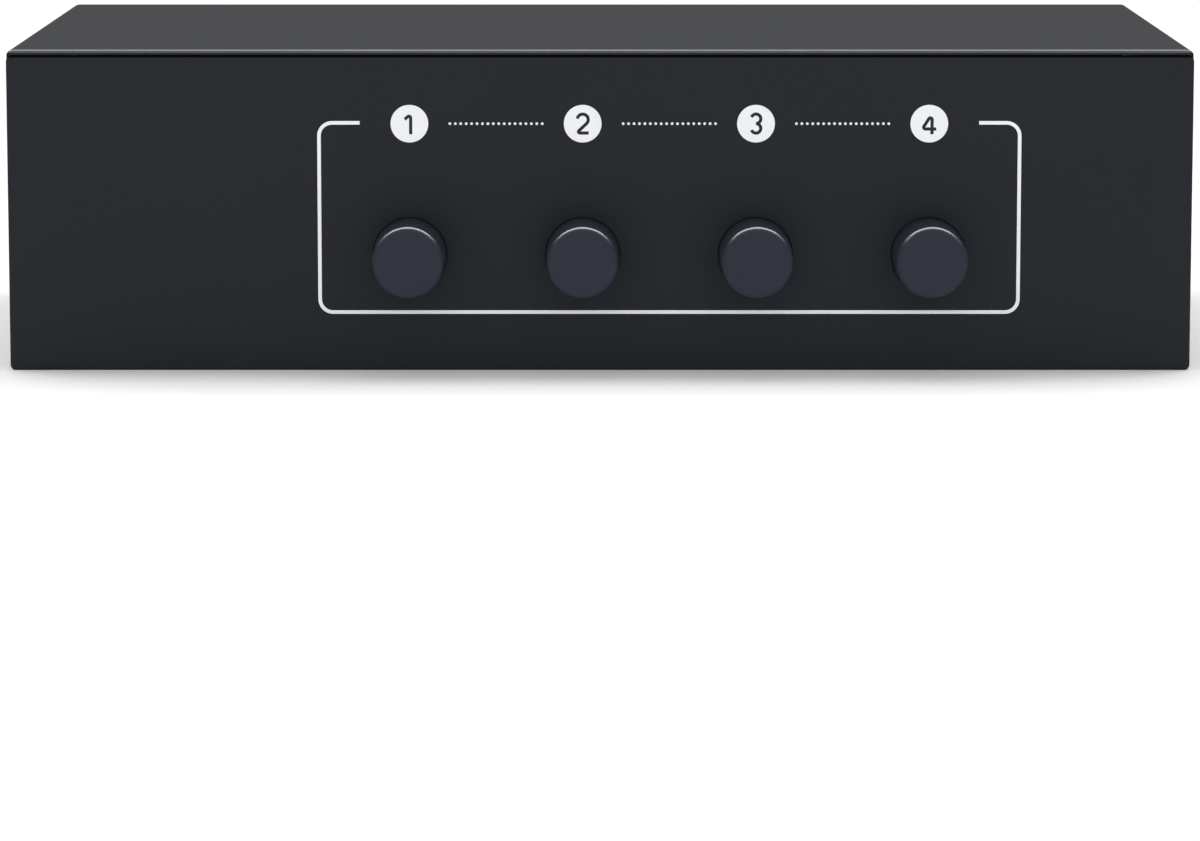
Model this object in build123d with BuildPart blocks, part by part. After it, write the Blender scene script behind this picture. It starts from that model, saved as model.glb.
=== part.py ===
"""Four-way audio source selector: a folded steel case with an interlocked push-button bank in front
and five groups of sockets behind.

Millimetres. +X is to the right when the buttons face you, +Y runs from the buttons to the sockets,
+Z is up. The origin is on the ground, under the middle of the whole outline, buttons and sockets
included. Every sub-part is one STEP file in parts/.
"""

from build123d import *

import os

# ---- Case --------------------------------------------------------------------------------------
SECTION_PITCH = 25.0  # from one group of sockets to the next
PANEL_MARGIN = 6.0  # beside the outer groups, to the case's side
CASE_DEPTH = 80.0
TOP_ROOM = 11.45  # from the upper sockets' axis to the top of the case
COVER_SHEET = 0.6  # gauge of the cover
SHEET = 0.8  # gauge of the tray
COVER_BEND = 0.3  # inside radius of the cover's folds
TRAY_BEND = 0.2  # inside radius of the tray's folds
RIM_SHARE = 0.75  # rounding of the cover's front and rear rims, as a share of its gauge
HEM_SHARE = 0.8  # rounding of the lower outer edges of the cover's sides, as a share of its gauge
PANEL_SHARE = 0.375  # rounding of the front panel's edges, as a share of the tray's gauge
COVER_LIFT = 0.3  # cover's sides above the ground
LIP_GAP = 0.2  # from the front panel's top edge to the cover above it
PANEL_JOINT = 0.15  # from the front panel's back to the cover's sides
SIDE_GAP = 0.1  # between the tray's side flanges and the cover
REAR_GAP = 0.45  # shadow gap round the rear panel
FRONT_RECESS = 0.15  # front panel behind the cover's top rim
REAR_RECESS = 0.5  # rear panel inside the cover's rim
PANEL_CORNER = 0.6  # corners of the front panel
REAR_EDGE = 0.15  # painted edges of the rear panel
FLANGE_HEIGHT = 12.0  # tray's side flanges
FLANGE_END = 1.0  # from the flanges' ends to the panels
REAR_RETURN = 6.0  # returns folded in at the rear panel's sides, above the flanges

# ---- Circuit board and what holds it -----------------------------------------------------------
BOARD_THICK = 1.6
BOARD_SIDE_GAP = 3.5  # from the board's edge to the inside of the cover
BOARD_END_GAP = 1.0  # from the board's edge to the rear panel
STANDOFF_HEIGHT = 3.0
STANDOFF_RADIUS = 2.6
STANDOFF_INSET = 4.5  # from the board's edges
BOARD_SCREW_RADIUS = 1.4
BOARD_SCREW_HEAD = 2.6
BOARD_SCREW_HEAD_HIGH = 1.8
HEAD_DOME = 0.65  # rounded share of a pan head's height
TAIL_BELOW = 1.0  # how far soldered tails stand below the board

# ---- Phono sockets -----------------------------------------------------------------------------
SECTIONS = ("in4", "in3", "in2", "in1", "out")  # from +X to -X
RCA_OUT = 10.0  # socket tip beyond the rear panel
RCA_LOW = 6.4  # lower socket's axis above the board
RCA_STACK = 14.0  # from the lower axis to the upper one
RCA_OFFSET = 5.0  # socket column from the middle of its section, towards +X
BLOCK_WIDTH = 11.5
BLOCK_DEPTH = 11.0
BLOCK_ROUND = 0.6
BOSS_RADIUS = 5.4
BOSS_OUT = 1.4  # boss beyond the rear panel
BOSS_ROUND = 0.35
SHELL_RADIUS = 4.2
SHELL_WALL = 0.5
SHELL_LIP = 3.0  # radius inside the nose
SHELL_LIP_THICK = 0.9
SHELL_LIP_ROUND = 0.15
NOSE_LONG = 2.0  # the nose is a quarter of an ellipse this long
NOSE_IN = 1.0  # and this much smaller in radius at its tip
SHELL_STEP = 0.2  # the shell is this much thinner where it sits in its boss
SHELL_SEAT = 3.0  # how deep the shell sits behind the rear panel
INSULATOR_SINK = 0.2  # insulator's face behind the nose
FUNNEL_RADIUS = 2.7
FUNNEL_DEPTH = 1.8
INSULATOR_BORE = 1.95
CONTACT_BORE = 1.62  # for the plug's centre pin
CONTACT_WALL = 0.25
CONTACT_NECK = 0.2  # the contact is this much wider in radius behind its fingers
CONTACT_SINK = 3.2  # contact's mouth behind the nose
CONTACT_SLIT = 0.4
TAIL_WIDE = 1.0
TAIL_THICK = 0.4
GROUND_TAIL_BACK = 1.1  # from the block to the shells' tails
UPPER_TAIL_SHIFT = 2.6  # the upper centre tail passes beside the lower socket

# ---- Panel screws, one to each phono block -----------------------------------------------------
LUG_OFFSET = 7.6  # screw axis from the socket column, towards -X
LUG_RADIUS = 3.2
LUG_DEPTH = 9.0
PANEL_SCREW_RADIUS = 1.35
PANEL_SCREW_LENGTH = 8.0
PANEL_SCREW_HEAD = 2.5
PANEL_SCREW_HEAD_HIGH = 1.9
RECESS_ARM = 1.45  # reach of each arm of the cross recess
RECESS_WIDE = 0.75
RECESS_DEEP = 1.1
RECESS_TURN = 20  # degrees that the crosses of the panel screws are turned

# ---- 3.5 mm jacks ------------------------------------------------------------------------------
JACK_OFFSET = 7.7  # jack axis from the middle of its section, towards -X
JACK_HEIGHT = 3.0  # jack's axis above the board
JACK_WIDE = 6.4
JACK_DEEP = 12.6
JACK_CROWN = 2.9  # body above the axis
JACK_OUT = 2.6  # barrel beyond the rear panel
BARREL_RADIUS = 2.45
BARREL_ROUND = 0.25
JACK_BORE = 1.8
JACK_CHAMBER = 2.0  # wider bore inside the panel, where the contacts are
JACK_BORE_DEPTH = 15.0
JACK_MOUTH = 0.15  # chamfer at the mouth
SPRING_SLOT = 2.4  # length of each contact's slot
SPRING_SLOT_HALF = 1.0
SPRING_BLADE = 0.3
JACK_SLOTS = ((-1, 3.0), (1, 6.5), (-1, 10.0))  # side, distance behind the rear panel's inside

# ---- Buttons -----------------------------------------------------------------------------------
BUTTONS = 4
BUTTON_PITCH = 20.0
BANK_SHIFT = 8.0  # bank's middle to the right of the case's middle
BUTTON_RISE = 8.1  # button axis above the board
BUTTON_OUT = 8.3  # cap's face beyond the front panel
STROKE = 5.0
OVER_TRAVEL = 0.6  # past the latched depth
CAP_RADIUS = 4.25
CAP_FACE_RADIUS = 4.12
CAP_EDGE = 0.75
CAP_GUIDE = 4.2  # cap behind the front panel when out
SOCKET_DEEP = 9.0
FIT_GAP = 0.05

# ---- Plungers and springs ----------------------------------------------------------------------
PLUNGER_SIZE = 3.0
PLUNGER_TAIL = 1.0  # beyond the switch body when out
COLLAR_RADIUS = 3.75
COLLAR_THICK = 1.0
SPRING_WIRE = 0.5
SPRING_RADIUS = 3.2  # middle of the wire
SPRING_TURNS = 5
SPRING_SPARE = 2.1  # air left between the turns at full stroke
SEAT_GAP = 0.05

# ---- Switch bank -------------------------------------------------------------------------------
FRAME_THICK = 1.0
FRAME_SIDE = 7.0  # frame beyond the outer buttons
FRAME_LIP = 1.4  # folded down behind the bodies
FRAME_FOOT_WIDE = 2.0
BODY_WIDE = 9.0
BODY_DEEP = 24.0
BODY_CROWN = 2.5  # body above the plunger's axis
CHANNEL_GAP = 0.25
LATCH_THICK = 0.8
LATCH_DROP = 3.4  # latch bar below the plungers' axis
LATCH_GAP = 0.1
LATCH_SIDE = 8.0  # latch bar beyond the outer buttons
WEDGE_RISE = 1.2
WEDGE_HIGH = 1.6
LEDGE_WIDE = 4.0
LEDGE_HIGH = 1.0
LATCH_SPRING_LENGTH = 4.0
LATCH_SPRING_WIRE = 0.3
LATCH_SPRING_RADIUS = 1.2
LATCH_SPRING_TURNS = 5
STOP_TAB = 4.5  # tab that holds the latch spring, behind the front of the bodies
PIN_SIZE = 0.6
PIN_PITCH = 7.0
PIN_ROWS = 3
PIN_HALF_SPAN = 3.0

# ---- Clearances of holes -----------------------------------------------------------------------
HOLE_GAP = 0.15  # around bosses, barrels and shanks
CAP_HOLE_GAP = 0.1
JACK_HOLE_GAP = 0.45

# ---- Screws that hold the cover on the tray's flanges ------------------------------------------
COVER_SCREW_RADIUS = 1.25
COVER_SCREW_HEAD = 2.5
COVER_SCREW_LENGTH = 4.0
COVER_SCREW_Z = 8.0
COVER_SCREW_END = 14.0  # in from the case's ends
COLLAR_WALL = 0.8  # drawn collar round each tapped hole in the flanges
COLLAR_RISE = 1.2
COUNTERSINK = 90
FLUSH_GAP = 0.05  # screw heads stay this far inside the cover's sides

# ---- Sizes worked out from the above -----------------------------------------------------------
CASE_WIDTH = len(SECTIONS) * SECTION_PITCH + 2 * PANEL_MARGIN
FLOOR_TOP = SHEET
BOARD_BOTTOM = FLOOR_TOP + STANDOFF_HEIGHT
BOARD_TOP = BOARD_BOTTOM + BOARD_THICK
RCA_LOW_Z = BOARD_TOP + RCA_LOW
RCA_HIGH_Z = RCA_LOW_Z + RCA_STACK
SCREW_Z = (RCA_LOW_Z + RCA_HIGH_Z) / 2
JACK_Z = BOARD_TOP + JACK_HEIGHT
BUTTON_Z = BOARD_TOP + BUTTON_RISE
CASE_HEIGHT = RCA_HIGH_Z + TOP_ROOM
TAIL_END = BOARD_BOTTOM - TAIL_BELOW

OVERALL_DEPTH = BUTTON_OUT - FRONT_RECESS + CASE_DEPTH - REAR_RECESS + RCA_OUT
FRONT_FACE = BUTTON_OUT - OVERALL_DEPTH / 2
FRONT_INSIDE = FRONT_FACE + SHEET
CASE_FRONT = FRONT_FACE - FRONT_RECESS
CASE_REAR = CASE_FRONT + CASE_DEPTH
REAR_FACE = CASE_REAR - REAR_RECESS
REAR_INSIDE = REAR_FACE - SHEET

INSIDE_WIDTH = CASE_WIDTH - 2 * COVER_SHEET
FLANGE_WIDTH = INSIDE_WIDTH - 2 * SIDE_GAP
REAR_WIDTH = INSIDE_WIDTH - 2 * REAR_GAP
PANEL_TOP = CASE_HEIGHT - COVER_SHEET - LIP_GAP
REAR_TOP = CASE_HEIGHT - COVER_SHEET - REAR_GAP
TRAY_FOLD = TRAY_BEND + SHEET
RETURN_BASE = FLANGE_HEIGHT + FLANGE_END

CAP_REAR = FRONT_INSIDE + CAP_GUIDE
SPRING_FRONT = CAP_REAR + COLLAR_THICK
SPRING_LENGTH = STROKE + SPRING_TURNS * SPRING_WIRE + SPRING_SPARE
FRAME_FRONT = SPRING_FRONT + SPRING_LENGTH
LATCH_FRONT = FRAME_FRONT + FRAME_THICK + LATCH_GAP
LATCH_REAR = LATCH_FRONT + LATCH_THICK
BODY_FRONT = LATCH_REAR + LATCH_GAP
BODY_REAR = BODY_FRONT + BODY_DEEP
BODY_TOP = BUTTON_Z + BODY_CROWN
PLUNGER_HALF = PLUNGER_SIZE / 2
CHANNEL_HALF = PLUNGER_HALF + CHANNEL_GAP
WEDGE_REACH = PLUNGER_HALF + WEDGE_RISE
WEDGE_SHOULDER = LATCH_REAR - (STROKE - OVER_TRAVEL)
WEDGE_TIP = LATCH_FRONT - LATCH_GAP
WEDGE_ROOM = WEDGE_REACH + CHANNEL_GAP
WEDGE_ROOM_HIGH = WEDGE_HIGH + 2 * CHANNEL_GAP

BOARD_WIDTH = INSIDE_WIDTH - 2 * BOARD_SIDE_GAP
BOARD_REAR = REAR_INSIDE - BOARD_END_GAP
BOARD_FRONT = FRAME_FRONT - FRAME_THICK
BLOCK_REAR = REAR_INSIDE - BLOCK_DEPTH
CENTRE_TAIL_Y = BLOCK_REAR - TAIL_THICK / 2
GROUND_TAIL_Y = BLOCK_REAR - GROUND_TAIL_BACK
SHELL_BASE = REAR_INSIDE - SHELL_SEAT
BOSS_FACE = REAR_FACE + BOSS_OUT
RCA_TIP = REAR_FACE + RCA_OUT
SEAT_RADIUS = SHELL_RADIUS - SHELL_STEP
GROUND_TAIL_X = SEAT_RADIUS - TAIL_THICK / 2
CONTACT_RADIUS = CONTACT_BORE + CONTACT_WALL
TUBE_RADIUS = CONTACT_RADIUS + CONTACT_NECK
FINGER_BASE = BOSS_FACE + HOLE_GAP
NECK_START = FINGER_BASE + CONTACT_WALL
BLADE_OFFSET = JACK_BORE + FIT_GAP + SPRING_BLADE / 2

button_xs = [BANK_SHIFT + (i - (BUTTONS - 1) / 2) * BUTTON_PITCH for i in range(BUTTONS)]
section_xs = [((len(SECTIONS) - 1) / 2 - i) * SECTION_PITCH for i in range(len(SECTIONS))]
column_xs = [x + RCA_OFFSET for x in section_xs]
jack_xs = [x - JACK_OFFSET for x in section_xs]
screw_xs = [x - LUG_OFFSET for x in column_xs]
standoff_spots = [
    (sx * (BOARD_WIDTH / 2 - STANDOFF_INSET), y)
    for sx in (-1, 1)
    for y in (BOARD_FRONT + STANDOFF_INSET, BLOCK_REAR - STANDOFF_INSET)
]
cover_screw_spots = [
    (side, y) for side in (-1, 1) for y in (CASE_FRONT + COVER_SCREW_END, CASE_REAR - COVER_SCREW_END)
]
pin_ys = [BODY_FRONT + BODY_DEEP / 2 + (i - (PIN_ROWS - 1) / 2) * PIN_PITCH for i in range(PIN_ROWS)]
pin_spots = [(x + side * PIN_HALF_SPAN, y) for x in button_xs for side in (-1, 1) for y in pin_ys]
foot_xs = [button_xs[0] - FRAME_SIDE + FRAME_FOOT_WIDE, button_xs[-1] + FRAME_SIDE - FRAME_FOOT_WIDE]

os.makedirs("parts", exist_ok=True)


def save(builder, name):
    """Label a finished piece and write it under its node's name."""
    builder.part.label = name
    export_step(builder.part, f"parts/{name}.step")


def facing_front(y):
    """Plane across the case at depth y. Its x is +X, its y is +Z, and extrusions run towards the buttons."""
    return Plane.XZ.offset(-y)


def turned_about_y(x, z):
    """Plane for the half section of a piece turned about an axis along Y. Its x is the radius, its y is Y."""
    return Plane(origin=(x, 0, z), x_dir=(1, 0, 0), z_dir=(0, 0, 1))


def y_axis(x, z):
    return Axis((x, 0, z), (0, 1, 0))


def on_side(side, x, y, outward=True):
    """Plane on the cover screws' height at distance x from the middle, facing out of the case or into it."""
    return Plane(origin=(side * x, y, COVER_SCREW_Z), z_dir=(side if outward else -side, 0, 0))


# ---- Cover: top and two sides folded from one sheet --------------------------------------------
COVER_MIDDLE = (CASE_WIDTH - COVER_SHEET) / 2
with BuildPart() as cover:
    with BuildSketch(facing_front(CASE_REAR)):
        with BuildLine():
            FilletPolyline(
                (-COVER_MIDDLE, COVER_LIFT),
                (-COVER_MIDDLE, CASE_HEIGHT - COVER_SHEET / 2),
                (COVER_MIDDLE, CASE_HEIGHT - COVER_SHEET / 2),
                (COVER_MIDDLE, COVER_LIFT),
                radius=COVER_BEND + COVER_SHEET / 2,
            )
        trace(line_width=COVER_SHEET)
    extrude(amount=CASE_DEPTH)
    hems = cover.edges().filter_by(Axis.Y).group_by(Axis.Z)[0].sort_by(Axis.X)
    fillet([hems[0], hems[-1]], HEM_SHARE * COVER_SHEET)
    rims = cover.edges().filter_by(Axis.X).group_by(Axis.Z)[-1]
    fillet(rims, RIM_SHARE * COVER_SHEET)
    with BuildSketch(facing_front(FRONT_INSIDE + PANEL_JOINT)):
        with Locations((0, (CASE_HEIGHT - COVER_SHEET) / 2)):
            Rectangle(2 * CASE_WIDTH, CASE_HEIGHT - COVER_SHEET)
    extrude(amount=CASE_DEPTH, mode=Mode.SUBTRACT)
    with Locations(*[on_side(side, CASE_WIDTH / 2, y) for side, y in cover_screw_spots]):
        CounterSinkHole(
            COVER_SCREW_RADIUS + HOLE_GAP,
            COVER_SCREW_HEAD + HOLE_GAP,
            depth=COVER_SHEET,
            counter_sink_angle=COUNTERSINK,
        )
save(cover, "top_cover")

# ---- Tray: front panel, floor with side flanges, and rear panel with returns, in one sheet -----
with BuildPart() as tray_outline:
    with BuildSketch(facing_front(FRONT_INSIDE)) as front_outline:
        with Locations((0, PANEL_TOP / 2)):
            Rectangle(CASE_WIDTH, PANEL_TOP)
        fillet(front_outline.vertices(), PANEL_CORNER)
    extrude(amount=SHEET)
    fillet(tray_outline.edges().group_by(Axis.Y)[0], PANEL_SHARE * SHEET)
    with BuildSketch(facing_front(REAR_FACE)):
        with Locations((0, REAR_TOP / 2)):
            RectangleRounded(REAR_WIDTH, REAR_TOP, TRAY_FOLD)
    extrude(amount=REAR_FACE - FRONT_INSIDE)
    fillet(tray_outline.edges().group_by(Axis.Y)[-1], REAR_EDGE)
    with BuildSketch(facing_front(REAR_FACE - TRAY_FOLD)):
        with Locations((0, REAR_TOP / 2)):
            RectangleRounded(FLANGE_WIDTH, REAR_TOP, TRAY_FOLD)
    extrude(amount=REAR_FACE - TRAY_FOLD - FRONT_INSIDE)

with BuildPart() as tray:
    with BuildSketch(Plane.YZ.offset(-CASE_WIDTH / 2)):
        with BuildLine():
            FilletPolyline(
                (FRONT_FACE + SHEET / 2, PANEL_TOP),
                (FRONT_FACE + SHEET / 2, SHEET / 2),
                (REAR_FACE - SHEET / 2, SHEET / 2),
                (REAR_FACE - SHEET / 2, PANEL_TOP),
                radius=TRAY_BEND + SHEET / 2,
            )
        trace(line_width=SHEET)
    extrude(amount=CASE_WIDTH)
    with BuildSketch(facing_front(REAR_INSIDE - FLANGE_END)):
        with BuildLine():
            FilletPolyline(
                (-(FLANGE_WIDTH - SHEET) / 2, FLANGE_HEIGHT),
                (-(FLANGE_WIDTH - SHEET) / 2, SHEET / 2),
                ((FLANGE_WIDTH - SHEET) / 2, SHEET / 2),
                ((FLANGE_WIDTH - SHEET) / 2, FLANGE_HEIGHT),
                radius=TRAY_BEND + SHEET / 2,
            )
        trace(line_width=SHEET)
    extrude(amount=REAR_INSIDE - FRONT_INSIDE - 2 * FLANGE_END)
    with BuildSketch(Plane.XY.offset(RETURN_BASE)):
        with BuildLine():
            FilletPolyline(
                (-(REAR_WIDTH - SHEET) / 2, REAR_INSIDE - REAR_RETURN),
                (-(REAR_WIDTH - SHEET) / 2, REAR_FACE - SHEET / 2),
                ((REAR_WIDTH - SHEET) / 2, REAR_FACE - SHEET / 2),
                ((REAR_WIDTH - SHEET) / 2, REAR_INSIDE - REAR_RETURN),
                radius=TRAY_BEND + SHEET / 2,
            )
        trace(line_width=SHEET)
    extrude(amount=REAR_TOP - TRAY_FOLD - RETURN_BASE)
    add(tray_outline.part, mode=Mode.INTERSECT)
    with BuildSketch(facing_front(FRONT_INSIDE)):
        with Locations(*[(x, BUTTON_Z) for x in button_xs]):
            Circle(CAP_RADIUS + CAP_HOLE_GAP)
    extrude(amount=SHEET, mode=Mode.SUBTRACT)
    with BuildSketch(facing_front(REAR_FACE)):
        with Locations(*[(x, z) for x in column_xs for z in (RCA_LOW_Z, RCA_HIGH_Z)]):
            Circle(BOSS_RADIUS + HOLE_GAP)
        with Locations(*[(x, SCREW_Z) for x in screw_xs]):
            Circle(PANEL_SCREW_RADIUS + HOLE_GAP)
        with Locations(*[(x, JACK_Z) for x in jack_xs]):
            Circle(BARREL_RADIUS + JACK_HOLE_GAP)
    extrude(amount=SHEET, mode=Mode.SUBTRACT)
    for side, y in cover_screw_spots:
        with BuildSketch(on_side(side, FLANGE_WIDTH / 2 - SHEET, y, outward=False)):
            Circle(COVER_SCREW_RADIUS + FIT_GAP + COLLAR_WALL)
        extrude(amount=COLLAR_RISE)
    with Locations(*[on_side(side, FLANGE_WIDTH / 2, y) for side, y in cover_screw_spots]):
        CounterSinkHole(
            COVER_SCREW_RADIUS + FIT_GAP,
            max(COVER_SCREW_HEAD - COVER_SHEET - SIDE_GAP, COVER_SCREW_RADIUS) + HOLE_GAP,
            depth=SHEET + COLLAR_RISE,
            counter_sink_angle=COUNTERSINK,
        )
save(tray, "chassis_tray")

# ---- Countersunk screws through the cover's sides into the flanges -----------------------------
with BuildPart() as cover_screws:
    for side, y in cover_screw_spots:
        head_plane = on_side(side, CASE_WIDTH / 2 - FLUSH_GAP, y, outward=False)
        with BuildSketch(head_plane):
            Circle(COVER_SCREW_RADIUS)
        extrude(amount=COVER_SCREW_LENGTH)
        with Locations(head_plane):
            Cone(
                COVER_SCREW_HEAD,
                COVER_SCREW_RADIUS,
                COVER_SCREW_HEAD - COVER_SCREW_RADIUS,
                align=(Align.CENTER, Align.CENTER, Align.MIN),
            )
        with BuildSketch(head_plane):
            Rectangle(2 * RECESS_ARM, RECESS_WIDE)
            Rectangle(RECESS_WIDE, 2 * RECESS_ARM)
        extrude(amount=RECESS_DEEP, mode=Mode.SUBTRACT)
save(cover_screws, "cover_screws")

# ---- Circuit board -----------------------------------------------------------------------------
centre_spots = [(x + shift, CENTRE_TAIL_Y) for x in column_xs for shift in (0, UPPER_TAIL_SHIFT)]
ground_spots = [(x + side * GROUND_TAIL_X, GROUND_TAIL_Y) for x in column_xs for side in (-1, 1)]
blade_spots = [
    (x + side * BLADE_OFFSET, REAR_INSIDE - y) for x in jack_xs for side, y in JACK_SLOTS
]
with BuildPart() as board:
    with BuildSketch(Plane.XY.offset(BOARD_BOTTOM)):
        with Locations((0, (BOARD_FRONT + BOARD_REAR) / 2)):
            Rectangle(BOARD_WIDTH, BOARD_REAR - BOARD_FRONT)
        with Locations(*standoff_spots):
            Circle(BOARD_SCREW_RADIUS + HOLE_GAP, mode=Mode.SUBTRACT)
        with Locations(*centre_spots, *ground_spots, *blade_spots):
            Circle(TAIL_WIDE / 2 + HOLE_GAP, mode=Mode.SUBTRACT)
        with Locations(*pin_spots):
            Circle(PIN_SIZE / 2 + 2 * HOLE_GAP, mode=Mode.SUBTRACT)
        with Locations(*[(x, FRAME_FRONT + FRAME_THICK / 2) for x in foot_xs]):
            Rectangle(FRAME_FOOT_WIDE + 2 * HOLE_GAP, FRAME_THICK + 2 * HOLE_GAP, mode=Mode.SUBTRACT)
    extrude(amount=BOARD_THICK)
save(board, "main_board")

with BuildPart() as standoffs:
    with BuildSketch(Plane.XY.offset(FLOOR_TOP)):
        with Locations(*standoff_spots):
            RegularPolygon(STANDOFF_RADIUS, 6)
            Circle(BOARD_SCREW_RADIUS + FIT_GAP, mode=Mode.SUBTRACT)
    extrude(amount=STANDOFF_HEIGHT)
save(standoffs, "board_standoffs")

with BuildPart() as board_screws:
    with BuildSketch(Plane.XY.offset(BOARD_TOP)):
        with Locations(*standoff_spots):
            Circle(BOARD_SCREW_HEAD)
    extrude(amount=BOARD_SCREW_HEAD_HIGH)
    fillet(board_screws.edges().group_by(Axis.Z)[-1], HEAD_DOME * BOARD_SCREW_HEAD_HIGH)
    with BuildSketch(Plane.XY.offset(BOARD_TOP)):
        with Locations(*standoff_spots):
            Circle(BOARD_SCREW_RADIUS)
    extrude(amount=-(BOARD_THICK + STANDOFF_HEIGHT))
    with BuildSketch(Plane.XY.offset(BOARD_TOP + BOARD_SCREW_HEAD_HIGH)):
        with Locations(*standoff_spots):
            Rectangle(2 * RECESS_ARM, RECESS_WIDE)
            Rectangle(RECESS_WIDE, 2 * RECESS_ARM)
    extrude(amount=-RECESS_DEEP, mode=Mode.SUBTRACT)
save(board_screws, "board_screws")


# ---- One phono block: two sockets above each other in a moulded housing ------------------------
def make_rca_housing(column_x):
    """Moulded block behind the panel, with two bosses through it and a lug for the panel screw."""
    axes = [(column_x, RCA_LOW_Z), (column_x, RCA_HIGH_Z)]
    top = RCA_HIGH_Z + BLOCK_WIDTH / 2
    lug_x = column_x - LUG_OFFSET
    with BuildPart() as housing:
        with BuildSketch(facing_front(REAR_INSIDE)):
            with Locations((column_x, (BOARD_TOP + top) / 2)):
                Rectangle(BLOCK_WIDTH, top - BOARD_TOP)
        extrude(amount=BLOCK_DEPTH)
        fillet(housing.edges().filter_by(Axis.Y).group_by(Axis.Z)[-1], BLOCK_ROUND)
        with BuildSketch(facing_front(REAR_INSIDE)):
            with Locations((lug_x, SCREW_Z)):
                Circle(LUG_RADIUS)
            with Locations(((lug_x + column_x) / 2, SCREW_Z)):
                Rectangle(column_x - lug_x, 2 * LUG_RADIUS)
        extrude(amount=LUG_DEPTH)
        with BuildSketch(facing_front(BOSS_FACE)):
            with Locations(*axes):
                Circle(BOSS_RADIUS)
        extrude(amount=BOSS_FACE - REAR_INSIDE)
        fillet(housing.edges().group_by(Axis.Y)[-1], BOSS_ROUND)
        with BuildSketch(facing_front(BOSS_FACE)):
            with Locations(*axes):
                Circle(SEAT_RADIUS + FIT_GAP)
        extrude(amount=BOSS_FACE - SHELL_BASE, mode=Mode.SUBTRACT)
        with BuildSketch(facing_front(SHELL_BASE)):
            with Locations(*axes):
                Circle(TUBE_RADIUS + FIT_GAP)
            for (x, z), side in zip(axes, (-1, 1)):
                with Locations((x + side * GROUND_TAIL_X, z)):
                    Rectangle(TAIL_THICK + 2 * FIT_GAP, TAIL_WIDE + 2 * FIT_GAP)
        extrude(amount=SHELL_BASE - BLOCK_REAR, mode=Mode.SUBTRACT)
        with BuildSketch(facing_front(REAR_INSIDE)):
            with Locations((lug_x, SCREW_Z)):
                Circle(PANEL_SCREW_RADIUS + FIT_GAP)
        extrude(amount=PANEL_SCREW_LENGTH, mode=Mode.SUBTRACT)
    return housing


def make_rca_shells(column_x):
    """Two plated outer contacts. Each is a tube with a rounded nose and a flat tail down to the board."""
    inside = SHELL_RADIUS - SHELL_WALL
    lip_back = RCA_TIP - SHELL_LIP_THICK
    with BuildPart() as shells:
        for z in (RCA_LOW_Z, RCA_HIGH_Z):
            with BuildSketch(turned_about_y(column_x, z)):
                with BuildLine():
                    nose_middle = (SHELL_RADIUS - NOSE_IN, RCA_TIP - NOSE_LONG)
                    nose = EllipticalCenterArc(nose_middle, NOSE_IN, NOSE_LONG, start_angle=0, arc_size=90)
                    Polyline(
                        nose @ 1,
                        (SHELL_LIP, RCA_TIP),
                        (SHELL_LIP, lip_back),
                        (inside, lip_back),
                        (inside, SHELL_BASE),
                        (SEAT_RADIUS, SHELL_BASE),
                        (SEAT_RADIUS, BOSS_FACE),
                        (SHELL_RADIUS, BOSS_FACE),
                        nose @ 0,
                    )
                make_face()
            revolve(axis=y_axis(column_x, z))
        tip_edges = shells.edges().group_by(Axis.Y)[-1].group_by(SortBy.RADIUS)
        fillet(tip_edges[0], SHELL_LIP_ROUND)
        for z, side in ((RCA_LOW_Z, -1), (RCA_HIGH_Z, 1)):
            tail_x = column_x + side * GROUND_TAIL_X
            with BuildSketch(facing_front(SHELL_BASE)):
                with Locations((tail_x, z)):
                    Rectangle(TAIL_THICK, TAIL_WIDE)
            extrude(amount=SHELL_BASE - GROUND_TAIL_Y + TAIL_WIDE / 2)
            with BuildSketch(Plane.XY.offset(TAIL_END)):
                with Locations((tail_x, GROUND_TAIL_Y)):
                    Rectangle(TAIL_THICK, TAIL_WIDE)
            extrude(amount=z - TAIL_END)
    return shells


def make_insulator(column_x, z):
    """Coloured insulator: a plug with a funnel mouth, held behind the shell's lip, wider inside for the tube."""
    face = RCA_TIP - INSULATOR_SINK
    shoulder = RCA_TIP - SHELL_LIP_THICK - FIT_GAP
    with BuildPart() as insulator:
        with BuildSketch(turned_about_y(column_x, z)):
            with BuildLine():
                Polyline(
                    (INSULATOR_BORE + CONTACT_NECK, SHELL_BASE),
                    (SHELL_RADIUS - SHELL_WALL - FIT_GAP, SHELL_BASE),
                    (SHELL_RADIUS - SHELL_WALL - FIT_GAP, shoulder),
                    (SHELL_LIP - FIT_GAP, shoulder),
                    (SHELL_LIP - FIT_GAP, face),
                    (FUNNEL_RADIUS, face),
                    (INSULATOR_BORE, face - FUNNEL_DEPTH),
                    (INSULATOR_BORE, NECK_START + FIT_GAP),
                    (INSULATOR_BORE + CONTACT_NECK, NECK_START + FIT_GAP),
                    close=True,
                )
            make_face()
        revolve(axis=y_axis(column_x, z))
    return insulator


for name, column_x in zip(SECTIONS, column_xs):
    save(make_rca_housing(column_x), f"rca_housing_{name}")
    save(make_rca_shells(column_x), f"rca_shells_{name}")
    save(make_insulator(column_x, RCA_HIGH_Z), f"rca_white_insulator_{name}")
    save(make_insulator(column_x, RCA_LOW_Z), f"rca_red_insulator_{name}")

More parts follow.
